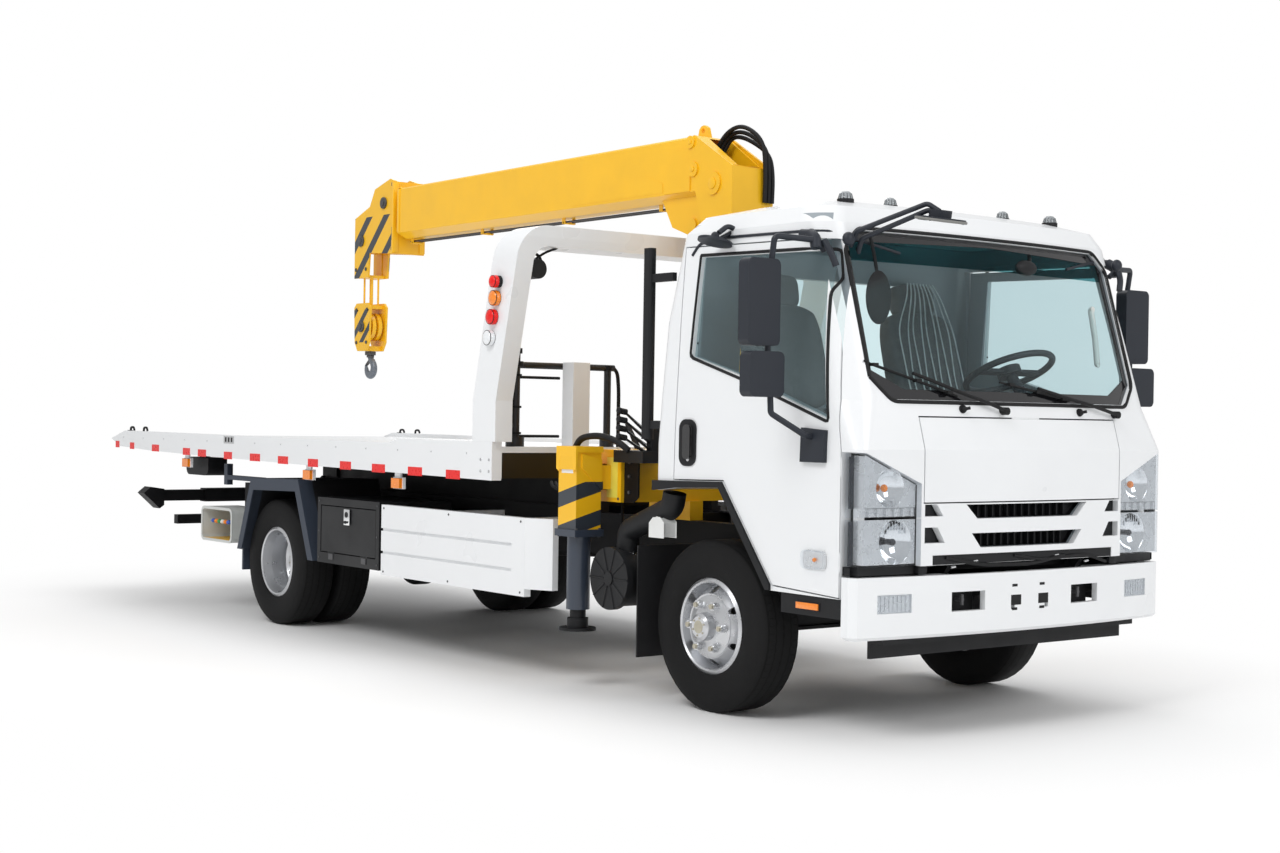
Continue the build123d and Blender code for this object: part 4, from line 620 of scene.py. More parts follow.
for word, side in sides:
    makeTyre(0, (truck["frontWheelY"],), side, f"tyreFront{word.title()}", f"wheel_front_{word}",
             f"tyre_front_{word}")
    makeTyre(truck["rearAxleX"], truck["rearWheelYs"], side, f"tyreRear{word.title()}", f"wheels_rear_{word}",
             f"tyres_rear_{word}")
print("stage: tyres")


def rayReach(outline, centre, angle):
    dx, dy = math.cos(angle), math.sin(angle)
    best = None
    for (ax, ay), (bx, by) in zip(outline, outline[1:] + outline[:1]):
        ex, ey = bx - ax, by - ay
        cross = dx * ey - dy * ex
        if abs(cross) < 1e-9:
            continue
        reach = ((ax - centre[0]) * ey - (ay - centre[1]) * ex) / cross
        share = ((ax - centre[0]) * dy - (ay - centre[1]) * dx) / cross
        if reach > 0 and -1e-6 <= share <= 1 + 1e-6 and (best is None or reach > best):
            best = reach
    return (centre[0] + dx * best, centre[1] + dy * best)


def addRingPlate(bm, outline, centre, radius, low, high, count=40):
    # Flat plate across X with one round hole; the outline is (y, z) points
    corners = [math.atan2(b - centre[1], a - centre[0]) % math.tau for a, b in outline]
    angles = sorted(corners + [a for a in turnAngles(count) if min(abs(a - c) for c in corners) > 0.03])
    loops = []
    for x in (low, high):
        inner = [bm.verts.new(place(x, centre[0] + radius * math.cos(a), centre[1] + radius * math.sin(a)))
                 for a in angles]
        outer = [bm.verts.new(place(x, *rayReach(outline, centre, a))) for a in angles]
        bridge(bm, inner, outer)
        loops.append((inner, outer))
    for ring in (0, 1):
        bridge(bm, loops[0][ring], loops[1][ring])


# Headlamps: clear shells over silver bowls
headlamp = {"wall": 0.003, "bezelX": 1026, "ribs": 6, "upper": (826, 1072, 80), "lower": (792, 845, 92),
            "upperFrame": ((672, 990), (672, 1086), (972, 1212), (972, 990)),
            "lowerFrame": ((672, 752), (672, 941), (972, 941), (972, 752))}
lampSilver = surface("lampSilver", (0.72, 0.73, 0.74), 0.28, metallic=0.6, grain=20, vary=0.03)
darkBulb = surface("darkBulb", (0.05, 0.05, 0.055), 0.3, metallic=0.5, grain=20)


def makeHeadlamps():
    bm = bmesh.new()
    bm.from_mesh(nodes["cab_lamps"].data)
    bmesh.ops.remove_doubles(bm, verts=bm.verts, dist=0.00001)
    bm.normal_update()
    unwanted = []
    for face in bm.faces:
        centre = face.calc_center_median()
        outward = face.normal.x > 0.25 or face.normal.y * (1 if centre.y > 0 else -1) > 0.6
        if centre.z > 1.3 or not outward:
            unwanted.append(face)
    bmesh.ops.delete(bm, geom=unwanted, context="FACES")
    shell = endMesh(bm, "headlampShells", "cab", clearLens, angle=40, recalc=False)
    wall = shell.modifiers.new("wall", "SOLIDIFY")
    wall.thickness = headlamp["wall"]
    wall.offset = -1
    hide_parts("cab_lamps")
    bowls, frames, backs, bulbs, ambers = startMeshes(5)
    x = headlamp["bezelX"]
    for side in (-1, 1):
        for key in ("upper", "lower"):
            outline = headlamp[f"{key}Frame"]
            cy, cz, radius = headlamp[key]
            cy *= side
            addRingPlate(frames, [(side * a, b) for a, b in outline][::side], (cy, cz), radius, x - 3, x)
            bowl = [(0, x - 56), (radius * 0.35, x - 54), (radius * 0.62, x - 44), (radius * 0.85, x - 24),
                    (radius, x), (radius + 3, x + 2), (radius + 3, x - 4), (radius * 0.85 + 2, x - 27),
                    (radius * 0.62, x - 47), (0, x - 59)]
            addTurned(bowls, bowl, (0, cy, cz), closed=False, segments=48)
            addBox(backs, (962, 965), (side * 670, side * 1004), (outline[0][1] - 4, outline[2][1] - 8))
        for k in range(headlamp["ribs"]):
            y = side * (700 + k * 50)
            addBox(frames, (x - 30, x + 8), (y - 5, y + 5), (953, 987))
        addBox(frames, (x - 30, x - 4), (side * 672, side * 972), (953, 988))
        addBox(frames, (964, x), (side * 972, side * 976), (752, 1208))
        for k in range(9):
            y = side * (728 + k * 16)
            addBox(bowls, (x - 26, x + 1), (y - 1.5, y + 1.5), (896 if 1 < k < 7 else 880, 936 - abs(k - 4) * 4))
        addBall(ambers, (x - 34, side * 826, 1072), 17, (1, 0.8, 1))
        addPeg(bulbs, (x - 50, x - 14), side * 792, 845, 13)
        addBall(bulbs, (x - 14, side * 792, 845), 15)
    endMesh(frames, "lampFrames", "cab", lampSilver)
    endMesh(bowls, "lampBowls", "cab", chrome, angle=40)
    endMesh(backs, "lampBacks", "cab", greyPlastic)
    endMesh(bulbs, "lampBulbs", "cab", darkBulb)
    endMesh(ambers, "indicatorBulbs", "cab", amberLens)


makeHeadlamps()


# Roof lamps: smoked domes behind wire bars
roofLamps = {"places": ((590, 690, 34), (560, 380, 30)), "bars": 12,
             "dome": ((0, 38), (0.5, 35), (0.85, 25), (1, 8), (1, 0), (0, 0))}
smokeLens = glassMaterial("smokeLens", (0.45, 0.48, 0.5), 0.25)[0]


def makeRoofLamps():
    domes, feet = startMeshes(2)
    for side in (-1, 1):
        for x, y, radius in roofLamps["places"]:
            y *= side
            z = topZ(x, y, ("cab_shell",))
            addPeg(feet, x, y, (z - 8, z + 10), radius + 4, 28)
            addTurned(domes, [(radius * r, d) for r, d in roofLamps["dome"]], (x, y, z + 8), "z", 28, closed=False)
            for a in turnAngles(roofLamps["bars"]):
                dx, dy = radius * math.cos(a), radius * math.sin(a)
                addRod(feet, (x + dx, y + dy, z + 8), (x + dx * 0.8, y + dy * 0.8, z + 34), 1.6, 6)
    endMesh(feet, "roofLampFeet", "cab", darkPlastic)
    endMesh(domes, "roofLampDomes", "cab", smokeLens, angle=40)


makeRoofLamps()

# Door: handle in its black recess, side lamp, window seal and its screws
doorTrim = {"recess": (-140, -22, 1136, 1346), "sideLamp": (717, 855, 724, 802), "sealRadius": 8,
            "window": ((-48, 2104), (-88, 1636), (274, 1533), (849, 1346), (770, 2088)),
            "screws": ((-60, 1990), (-60, 1700))}
glossBlack = surface("glossBlack", (0.01, 0.01, 0.011), 0.12, coat=0.8, grain=10)

# Name, place, margins at the rear, front, bottom and top, corner, span across the skin, material, bevel
doorPlates = (("handleRecess", "recess", (0, 0, 0, 0), 42, (-5, 12), darkPlastic, 3),
              ("handleWell", "recess", (16, 16, 22, 18), 30, (-5.6, -3), rubberBlack, 0),
              ("handleGrip", "recess", (44, 30, 34, 26), 18, (-20, -5), glossBlack, 5),
              ("sideLampFoot", "sideLamp", (0, 0, 0, 0), 22, (-7, 4), lampSilver, 2),
              ("sideLampLens", "sideLamp", (5, 5, 5, 5), 18, (-24, -6), clearLens, 6))


def endPair(bm, name, material, **more):
    piece = endMesh(bm, name, "door_right", material, **more)
    mirrorAcross(piece, "door_left", f"{name}Left")


def doorMiddle(key):
    x0, x1, z0, z1 = doorTrim[key]
    x, z = (x0 + x1) / 2, (z0 + z1) / 2
    return x, sideY(x, z, -1), z


def makeDoorTrim():
    for name, key, (rear, front, low, high), corner, (near, far), material, bevel in doorPlates:
        x0, x1, z0, z1 = doorTrim[key]
        y = doorMiddle(key)[1]
        bm = bmesh.new()
        outline = roundedOutline((x0 + rear, x1 - front), (z0 + low, z1 - high), corner)
        addPrism(bm, outline, "y", y + near, y + far)
        endPair(bm, name, material, bevel=bevel)
    lock, bulb, seal, screws = startMeshes(4)
    x, y, _ = doorMiddle("recess")
    addPeg(lock, x + 8, (y - 4, y - 9), doorTrim["recess"][2] + 30, 11)
    endPair(lock, "doorLock", brightSteel)
    x, y, z = doorMiddle("sideLamp")
    addBall(bulb, (x + 6, y - 13, z), 9)
    endPair(bulb, "sideLampBulb", amberLens)
    line = sampled(doorTrim["window"], 60, closed=True)
    addTube(seal, [(x, sideY(x, z, -1) + 1.5, z) for x, z in line], doorTrim["sealRadius"], 20, 8, 2)
    endPair(seal, "windowSeal", rubberBlack, angle=60)
    for x, z in doorTrim["screws"]:
        y = sideY(x, z, -1)
        addPeg(screws, x, (y - 1, y - 3), z, 5, 10)
    endPair(screws, "sealScrews", rubberBlack)


makeDoorTrim()

# Mirror glasses on the rear faces of the door mirrors: middle, half width and half height
mirrorGlass = {"big": (631, 1251, 1848, 66, 166), "small": (659, 1256, 1544, 72, 76)}


def makeMirrorGlasses():
    glass, rims = startMeshes(2)
    for x, y, z, halfY, halfZ in mirrorGlass.values():
        for bm, margin, corner, near, far in ((glass, 0, 20, -1.5, 2), (rims, 6, 24, -0.6, 3)):
            wide, high = halfY + margin, halfZ + margin
            addPrism(bm, roundedOutline((-y - wide, -y + wide), (z - high, z + high), corner), "x", x + near, x + far)
    endPair(glass, "mirrorGlasses", chrome)
    endPair(rims, "mirrorRims", rubberBlack)


makeMirrorGlasses()

# Under-view mirror with its rim, mirror brackets and roof gutter strip
cabSmall = {"gutterRadius": 7, "underMirror": (1140, -665, 2205), "underTilt": 10,
            "gutter": ((-110, 2108), (-60, 2160), (120, 2176), (740, 2166), (800, 2090))}
paleRubber = surface("paleRubber", (0.2, 0.2, 0.19), 0.5, grain=12)


def makeCabSmall():
    turn = Matrix.Translation(place(*cabSmall["underMirror"])) @ Matrix.Rotation(
        math.radians(cabSmall["underTilt"]), 4, "Y")
    for name, low, top, depth, drop, material, bevel in (
            ("underMirrorGlass", 0.098, 0.1, 0.003, 0.0095, chrome, 0),
            ("underMirrorRim", 0.111, 0.111, 0.012, 0.003, paleRubber, 4)):
        bm = bmesh.new()
        bmesh.ops.create_cone(bm, cap_ends=True, segments=40, radius1=low, radius2=top, depth=depth,
                              matrix=turn @ Matrix.Translation((0, 0, -drop)))
        endMesh(bm, name, "cab", material, bevel=bevel)
    bm = bmesh.new()
    for side in (-1, 1):
        addTube(bm, [(x, sideY(x, z, side) + side * 2, z) for x, z in sampled(cabSmall["gutter"], 70)],
                cabSmall["gutterRadius"], 30, 8, 3)
        for line, radius, bend, count in (
                (((700, 1000, 2150), (742, 1010, 2128), (752, 1012, 2085)), 26, 24, 12),
                (((640, 996, 2158), (700, 1002, 2152)), 18, 5, 10),
                (((812, 952, 2010), (800, 975, 2070), (770, 985, 2120)), 15, 30, 10),
                (((168, 955, 2205), (160, 1005, 2225), (150, 1050, 2190)), 12, 20, 10)):
            addTube(bm, [(x, side * y, z) for x, y, z in line], radius, bend, count)
        addBall(bm, (832, side * 902, 2128), 30, (0.8, 1, 1), 14)
        addBall(bm, (140, side * 1062, 2176), 20, segments=14)
    endMesh(bm, "mirrorBrackets", "cab", greyPlastic, angle=50)


makeCabSmall()

# Wipers, washer nozzles and the windscreen's rubber edge
screenOutline = [(-880, 1541), (-781, 1438), (781, 1438), (880, 1541), (875, 2100), (786, 2188), (-786, 2188),
                 (-875, 2100)]
wipers = (
    {"pivot": (-150, 1407), "tip": (-897, 1608), "end": (-401, 1467), "join": (-644, 1562)},
    {"pivot": (657, 1401), "tip": (-119, 1535), "end": (347, 1460), "join": (118, 1512)},
)
glassNames = ("cab_glass", "cab_shell", "front_lid")


def onScreen(points, lift):
    return [(frontX(y, z, glassNames) + lift, y, z) for y, z in points]


def makeWipers():
    bm = bmesh.new()
    for wiper in wipers:
        pivot, tip, end, join = (wiper[key] for key in ("pivot", "tip", "end", "join"))
        edge = onScreen(sampled([tip, end], 60), 9)
        addTube(bm, edge, 5, 5, 8, 1)
        addTube(bm, [(x + 12, y, z) for x, y, z in edge[1:-1]], 4.5, 5, 8, 1)
        for k in (1, len(edge) // 2, len(edge) - 2):
            x, y, z = edge[k]
            addBox(bm, (x - 3, x + 22), (y - 16, y + 16), (z - 6, z + 8))
        base = (frontX(*pivot, glassNames) + 30, *pivot)
        arm = [base] + [(x + 30, y, z) for x, y, z in onScreen(sampled([pivot, join], 120)[1:-1], 0)]
        top = onScreen([join], 24)[0]
        addTube(bm, arm + [top], 8, 40, 8, 3)
        addRod(bm, (base[0] - 34, *pivot), (base[0] + 6, *pivot), 17, 18)
    for y, z in ((-395, 1412), (389, 1408)):
        x = frontX(y, z, glassNames)
        addBall(bm, (x + 12, y, z), 14, (1, 1, 1), 12)
        addRod(bm, (x + 12, y, z), (x + 34, y + 16, z + 6), 7, 10)
        addPeg(bm, (x - 2, x + 10), y, z, 18, 14)
    endMesh(bm, "wipers", "cab", rubberBlack, angle=40)
    bm = bmesh.new()
    line = sampled(screenOutline, 70, closed=True)
    addTube(bm, [(frontX(y, z, ("cab_shell",)) - 1, y, z) for y, z in line], 9, 30, 8, 3)
    endMesh(bm, "screenSeal", "cab", rubberBlack, angle=60)


makeWipers()
print("stage: cab outside")

# Bumper: fog lamps, black plates as painted shade in its dark openings and number-plate slots, and the black strip
# above it
bumperTrim = {"fog": (714, 894, 549, 624), "faceX": 1091, "sweep": 71, "halfWidth": 998,
              "slots": ((-125, -59, 553, 598), (56, 124, 553, 598), (-118, -84, 634, 646), (64, 98, 634, 646),
                        (-118, -84, 530, 542), (64, 98, 530, 542))}


def bumperX(y):
    return bumperTrim["faceX"] - bumperTrim["sweep"] * (y / bumperTrim["halfWidth"]) ** 2


def addCurved(bm, y0, y1, z0, z1, front, back, steps=8):
    # Plate that follows the bumper's curve, between two distances behind its face
    ys = [y0 + (y1 - y0) * k / steps for k in range(steps + 1)]
    outline = [(bumperX(y) - front, y) for y in ys] + [(bumperX(y) - back, y) for y in reversed(ys)]
    addPrism(bm, outline, "z", z0, z1)


def makeBumperTrim():
    y0, y1, z0, z1 = bumperTrim["fog"]
    lenses, bowls, dark, steel = startMeshes(4)
    for side in (-1, 1):
        addCurved(lenses, side * y0, side * y1, z0, z1, 2, 5)
        addCurved(bowls, side * (y0 + 2), side * (y1 - 2), z0 + 2, z1 - 2, 9.5, 11.5)
        for k in range(7):
            y = side * (y0 + 24 + k * 22)
            addBox(bowls, (bumperX(y) - 10, bumperX(y) - 6), (y - 2, y + 2), (z0 + 6, z1 - 6))
        # Black plate behind each opening: painted shade inside the opening
        addBox(dark, (1000, 1004), (side * 282, side * 494), (500, 632))
        addPeg(steel, (1004, 1046), side * 388, 585, 9, 12)
        addPeg(steel, 1040, side * 388, (562, 608), 8, 12)
    # Number-plate slots drawn as dark plates on the face: painted shade inside the slots
    for a, b, c, d in bumperTrim["slots"]:
        addCurved(dark, a, b, c, d, -0.4, 3, 2)
    endMesh(lenses, "fogLenses", "chassis", clearLens)
    endMesh(bowls, "fogBowls", "chassis", lampSilver)
    endMesh(dark, "bumperOpeningShade", "chassis", rubberBlack)
    endMesh(steel, "towEyes", "chassis", castMetal)
    strips, screws, hoses = startMeshes(3)
    for side in (-1, 1):
        ys = [612 + k * 36 for k in range(11)] + [990, 1004]
        front = [(frontX(side * y, 735, ("cab_shell", "cab_lamps")) - 9, side * y) for y in ys if y > 665]
        front = [(1044, side * 612), (1044, side * 664)] + front + [(985, side * 1011), (946, side * 1011)]
        addPrism(strips, front + [(946, side * 990), (1000, side * 980), (1020, side * 612)], "z", 706, 743)
        for k in (3, 5, 7, 9):
            x, y = front[k]
            addBall(screws, (x + 1, y, 722), 6, (1, 1, 1), 10)
    for k, (y, z) in enumerate(((-470, 730), (-330, 752), (210, 760), (420, 726))):
        addRod(screws, (1061, y - 14, z), (1061, y + 14, z + 3), 5, 8)
    addTube(hoses, [(1062, -520, 775), (1064, -300, 735), (1063, 40, 728), (1062, 260, 760)], 9, 80, 8)
    addTube(hoses, [(1062, -80, 770), (1066, 120, 742), (1064, 400, 762), (1062, 560, 720)], 7, 80, 8)
    endMesh(strips, "lampStrips", "cab", darkPlastic, bevel=2)
    endMesh(screws, "stripScrews", "cab", brightSteel)
    endMesh(hoses, "gapHoses", "cab", rubberBlack, angle=60)


makeBumperTrim()

# Amber markers under the doors
stepMarker = {"x": (662, 800), "z": (547, 575)}


def makeStepMarkers():
    bm, feet = startMeshes(2)
    (x0, x1), (z0, z1) = stepMarker["x"], stepMarker["z"]
    for side in (-1, 1):
        addBox(feet, (x0 - 6, x1 + 6), (side * 1007, side * 1011), (z0 - 5, z1 + 5))
        addBox(bm, (x0, x1), (side * 1010, side * 1017), (z0, z1))
    endMesh(feet, "stepMarkerFeet", "cab", darkPlastic, bevel=1.5)
    endMesh(bm, "stepMarkers", "cab", amberLens, bevel=2)


makeStepMarkers()

# Wheels: nuts on the studs and hub caps with their bolts
wheelTrim = {"studCircle": 111.1, "nutRadius": 19, "boltCircle": 40, "capRadius": 30}
nutBrass = surface("nutBrass", (0.5, 0.47, 0.38), 0.35, metallic=0.9, grain=30, vary=0.1)


def sixAround(x, z, radius, turn=0):
    return [(x + radius * math.cos(a + math.radians(turn)), z + radius * math.sin(a + math.radians(turn)))
            for a in turnAngles(6)]


def makeWheelTrim():
    z = truck["axleHeight"]
    for word, side in sides:
        for x, face, cap, body, name in ((0, 952, 1008, f"wheel_front_{word}", "front"),
                                         (truck["rearAxleX"], 849, 943, f"wheels_rear_{word}", "rear")):
            nuts, domes = startMeshes(2)
            for cx, cz in sixAround(x, z, wheelTrim["studCircle"]):
                addPrism(nuts, sixAround(cx, cz, wheelTrim["nutRadius"]), "y", side * (face - 6), side * (face + 22))
                addPeg(domes, cx, (side * (face + 20), side * (face + 34)), cz, 12, 14)
            radius = wheelTrim["capRadius"]
            addTurned(domes, [(0, 2), (radius, 2), (radius, -1), (0, -1)], (x, side * cap, z), "y", 24, closed=False)
            for cx, cz in sixAround(x, z, wheelTrim["boltCircle"], 20):
                addPeg(domes, cx, (side * (cap - 4), side * (cap + 3)), cz, 5, 8)
            endMesh(nuts, f"{name}Nuts{word.title()}", body, brightSteel, bevel=2)
            endMesh(domes, f"{name}Studs{word.title()}", body, nutBrass)


makeWheelTrim()

# Bed rails: red reflectors, screws, stake plate, lamps and tail hooks
# A reflector is given by its two ends and its height, an arch lamp by height, radius, depth and tone
reflectorSpans = ((-6640, -6570, 1096), (-6368, -6290, 1090), (-5966, -5842, 1083), (-5430, -5314, 1071),
                  (-5183, -5054, 1067), (-4772, -4650, 1061), (-4383, -4238, 1059), (-3985, -3848, 1053),
                  (-3582, -3453, 1047), (-3176, -3042, 1044), (-2793, -2644, 1040), (-2387, -2236, 1036),
                  (-1985, -1843, 1032))
archLamps = ((2045, 32, 46, "red"), (1961, 40, 30, "amber"), (1864, 40, 30, "red"), (1756, 40, 30, "white"))
railLine = ((-1535, 1013), (-2475, 1021), (-3687, 1032), (-5150, 1049), (-6001, 1063), (-6558, 1083))
bedTrim = {"screwXs": range(-1780, -6487, -362), "markerXs": (-5440, -3640, -2560), "tailHookXs": (-6373, -6133),
           "stakeSlotXs": (-4755, -4711, -4667), "archFoot": (-1507, 1430), "archTop": (-1302, 2275)}


def archFront(z):
    (footX, footZ), (topX, headZ) = bedTrim["archFoot"], bedTrim["archTop"]
    return footX + (z - footZ) / (headZ - footZ) * (topX - footX)


def bedRailLow(x):
    for (ahead, zAhead), (behind, zBehind) in zip(railLine, railLine[1:]):
        if behind <= x <= ahead:
            return zAhead + (zBehind - zAhead) * (x - ahead) / (behind - ahead)
    return railLine[-1][1]


def makeBedTrim():
    red, screws, amber, white, brackets, steel, black = startMeshes(7)
    for side in (-1, 1):
        for x0, x1, z in reflectorSpans:
            addBox(red, (x0, x1), (side * 1149, side * 1151.6), (z - 24, z + 24))
        for x in bedTrim["screwXs"]:
            addPeg(screws, x, (side * 1149, side * 1152.5), 1150, 5, 8)
        for z, radius, depth, tone in archLamps:
            first = 22 if z > 2000 else 3
            profile = [(0, depth + 12), (radius * 0.5, depth + 10), (radius * 0.85, depth + 4),
                       (radius + 0.6, depth - 4), (radius + 0.6, first), (0, first)]
            addTurned({"red": red, "amber": amber, "white": white}[tone], [(r, side * d) for r, d in profile],
                      (archFront(z) - 130, side * 1150, z), "y", 32, closed=False)
        for x in bedTrim["markerXs"]:
            z = bedRailLow(x)
            addBox(amber, (x - 46, x + 46), (side * 1110, side * 1131.5), (z - 89, z - 33))
            addBox(brackets, (x - 54, x + 54), (side * 1094, side * 1112), (z - 93, z - 28))
            addBox(brackets, (x - 31, x + 31), (side * 1104, side * 1116), (z - 40, z - 1))
        addBox(red, (-5622, -5619), (side * 915, side * 1026), (925, 1015))
        addBox(steel, (-4776, -4622), (side * 1149, side * 1152), (1140, 1189))
        # Slots in the stake plate drawn as black patches: painted shade inside the slots
        for x in bedTrim["stakeSlotXs"]:
            addBox(black, (x, x + 20), (side * 1150, side * 1153), (1150, 1180))
        for x in bedTrim["tailHookXs"]:
            hook = ((-34, 1199), (-30, 1224), (20, 1226), (34, 1203))
            addTube(black, [(x + dx, side * 1130, z) for dx, z in hook], 8, 14, 8)
        addBox(black, (-6440, -6395), (side * 1118, side * 1142), (1192, 1203))
        for x in (-1640, -1560):
            for z in (1120, 1060):
                addPeg(screws, x, (side * 1149, side * 1153), z, 8, 10)
    endMesh(red, "redReflectors", "bed", redLens, angle=40)
    endMesh(screws, "railScrews", "bed", brightSteel)
    endMesh(amber, "amberLamps", "bed", amberLens, angle=40)
    endMesh(white, "whiteLamps", "bed", whiteLens, angle=40)
    endMesh(brackets, "lampBrackets", "bed", whitePaint)
    endMesh(steel, "stakePlates", "bed", brightSteel)
    endMesh(black, "tailHooks", "bed", chassisBlack, angle=50)


makeBedTrim()

# Stand behind the cab: clamps, knobs and thin stays; work lamp face and its loops
# Clamps are given by middle, half height and radius, stays by line, radius and bend
standTrim = {
    "postX": -1690,
    "clamps": ((-905, 1700, 14, 34), (-905, 1630, 14, 40), (-950, 1650, 14, 26), (-294, 1625, 14, 30),
               (-905, 1570, 6, 33), (-905, 1400, 6, 33), (-905, 1260, 6, 33)),
    "stays": ((((-905, 1560), (-700, 1560), (-620, 1560)), 8, 10), (((-905, 1244), (-620, 1244)), 8, 10),
              (((-253, 1625), (-225, 1600), (-215, 1500), (-215, 1186)), 11, 40)),
}


def makeStandTrim():
    bm = bmesh.new()
    x = standTrim["postX"]
    for y, z, half, radius in standTrim["clamps"]:
        addPeg(bm, x, y, (z - half, z + half), radius, 24)
    addPeg(bm, x, (-985, -955), 1625, 30, 24)
    addPeg(bm, x, (-1000, -950), 1300, 24, 24)
    for line, radius, bend in standTrim["stays"]:
        addTube(bm, [(x, y, z) for y, z in line], radius, bend, 8)
    endMesh(bm, "standClamps", "bed", chassisBlack, angle=40)
    bm = bmesh.new()
    addPeg(bm, (-1542, -1539), -960, 2120, 46, 32)
    endMesh(bm, "workLampGlass", "bed", whiteLens)
    bm = bmesh.new()
    addTube(bm, [(-1470, -1014, 2120), (-1465, -1020, 2185), (-1470, -960, 2214), (-1475, -900, 2185),
                 (-1470, -906, 2120)], 8, 40, 8)
    addTube(bm, [(-1440, -960, 2172), (-1400, -930, 2205), (-1390, -860, 2232)], 7, 30, 8)
    addTube(bm, [(-1500, -960, 2172), (-1530, -1000, 2200), (-1470, -1030, 2226)], 6, 30, 8)
    endMesh(bm, "workLampLoops", "bed", rubberBlack, angle=50)


makeStandTrim()

# Toolboxes and side guards: latch, hinges, screws
boxTrim = {"middleX": -3128, "hingeShift": 200, "boxScrews": ((-3480, -2776), (480, 640, 820), 1123),
           "guardScrews": ((-2700, -2000, -1300), (450, 812), 1122.5)}


def makeBoxTrim():
    middle = boxTrim["middleX"]
    for word, side in sides:
        bm, dark = startMeshes(2)
        addBox(bm, (middle - 34, middle + 34), (side * 1123, side * 1129), (690, 784))
        addPeg(dark, middle, (side * 1128, side * 1132), 752, 17)
        ring = ((-18, 1131, 712), (-10, 1137, 704), (10, 1137, 704), (18, 1131, 712))
        addTube(dark, [(middle + dx, side * y, z) for dx, y, z in ring], 5, 6, 8)
        endMesh(bm, f"boxLatch{word.title()}", f"toolbox_door_{word}", chrome, bevel=2)
        endMesh(dark, f"boxLatchRing{word.title()}", f"toolbox_door_{word}", darkPlastic, angle=50)
    bm = bmesh.new()
    for side in (-1, 1):
        for x in (middle - boxTrim["hingeShift"], middle + boxTrim["hingeShift"]):
            addBox(bm, (x - 26, x + 26), (side * 1119, side * 1124), (474, 508))
        for places, heights, reach in (boxTrim["boxScrews"], boxTrim["guardScrews"]):
            for x in places:
                for z in heights:
                    addPeg(bm, x, (side * 1119, side * reach), z, 6, 8)
    endMesh(bm, "boxHinges", "chassis", castMetal)


makeBoxTrim()

# Control box: pale rim, yellow floor plate, coloured knobs and black levers
knobTones = ((0.05, 0.12, 0.5), (0.9, 0.25, 0.02), (0.04, 0.3, 0.08), (0.75, 0.76, 0.74), (0.9, 0.25, 0.02),
             (0.05, 0.12, 0.5))
controlBox = {"x": (-5332, -4848), "z": (468, 702), "rim": 18, "corner": 42, "innerCorner": 28, "knobPitch": 48}


def makeControls():
    for k, tone in enumerate(knobTones):
        bm = bmesh.new()
        addBall(bm, (-5210 + k * controlBox["knobPitch"], -1016, 604), 15, (1, 1.2, 1), 14)
        endMesh(bm, f"controlKnob{k}", "chassis", surface(f"knob{k}", tone, 0.35, grain=20))
    floor, fittings, rim = startMeshes(3)
    addBox(floor, (-5310, -4870), (-1046, -818), (484.5, 487))
    endMesh(floor, "controlFloor", "chassis", yellowPaint)
    for k in range(5):
        addPeg(fittings, -5190 + k * 62, (-826, -818), 640, 17, 16)
    for k in range(4):
        x = -5190 + k * 80
        addTube(fittings, [(x, -822, 655), (x, -900, 664), (-5150 + k * 60, -890, 630)], 7, 30, 8)
    endMesh(fittings, "controlFittings", "chassis", rubberBlack, angle=50)
    (x0, x1), (z0, z1), margin = controlBox["x"], controlBox["z"], controlBox["rim"]
    outlines = (roundedOutline((x0, x1), (z0, z1), controlBox["corner"]),
                roundedOutline((x0 + margin, x1 - margin), (z0 + margin, z1 - margin), controlBox["innerCorner"]))
    outer, inner, outerBack, innerBack = ([rim.verts.new(place(x, y, z)) for x, z in outline]
                                          for y in (-1053, -1046) for outline in outlines)
    for pair in ((outer, inner), (outerBack, innerBack), (outer, outerBack), (inner, innerBack)):
        bridge(rim, *pair)
    endMesh(rim, "controlRim", "chassis", palePlastic)


makeControls()
print("stage: chassis and bed pieces")

# Leg and base: lip, blank labels, gusset, bracket plate, bolts, drum clamp, washer tank
labelWhite = surface("labelWhite", (0.8, 0.8, 0.8), 0.4, grain=10)
labelYellow = surface("labelYellow", (0.85, 0.75, 0.1), 0.4, grain=10)
tankPlastic = surface("tankPlastic", (0.75, 0.76, 0.75), 0.4, grain=10)


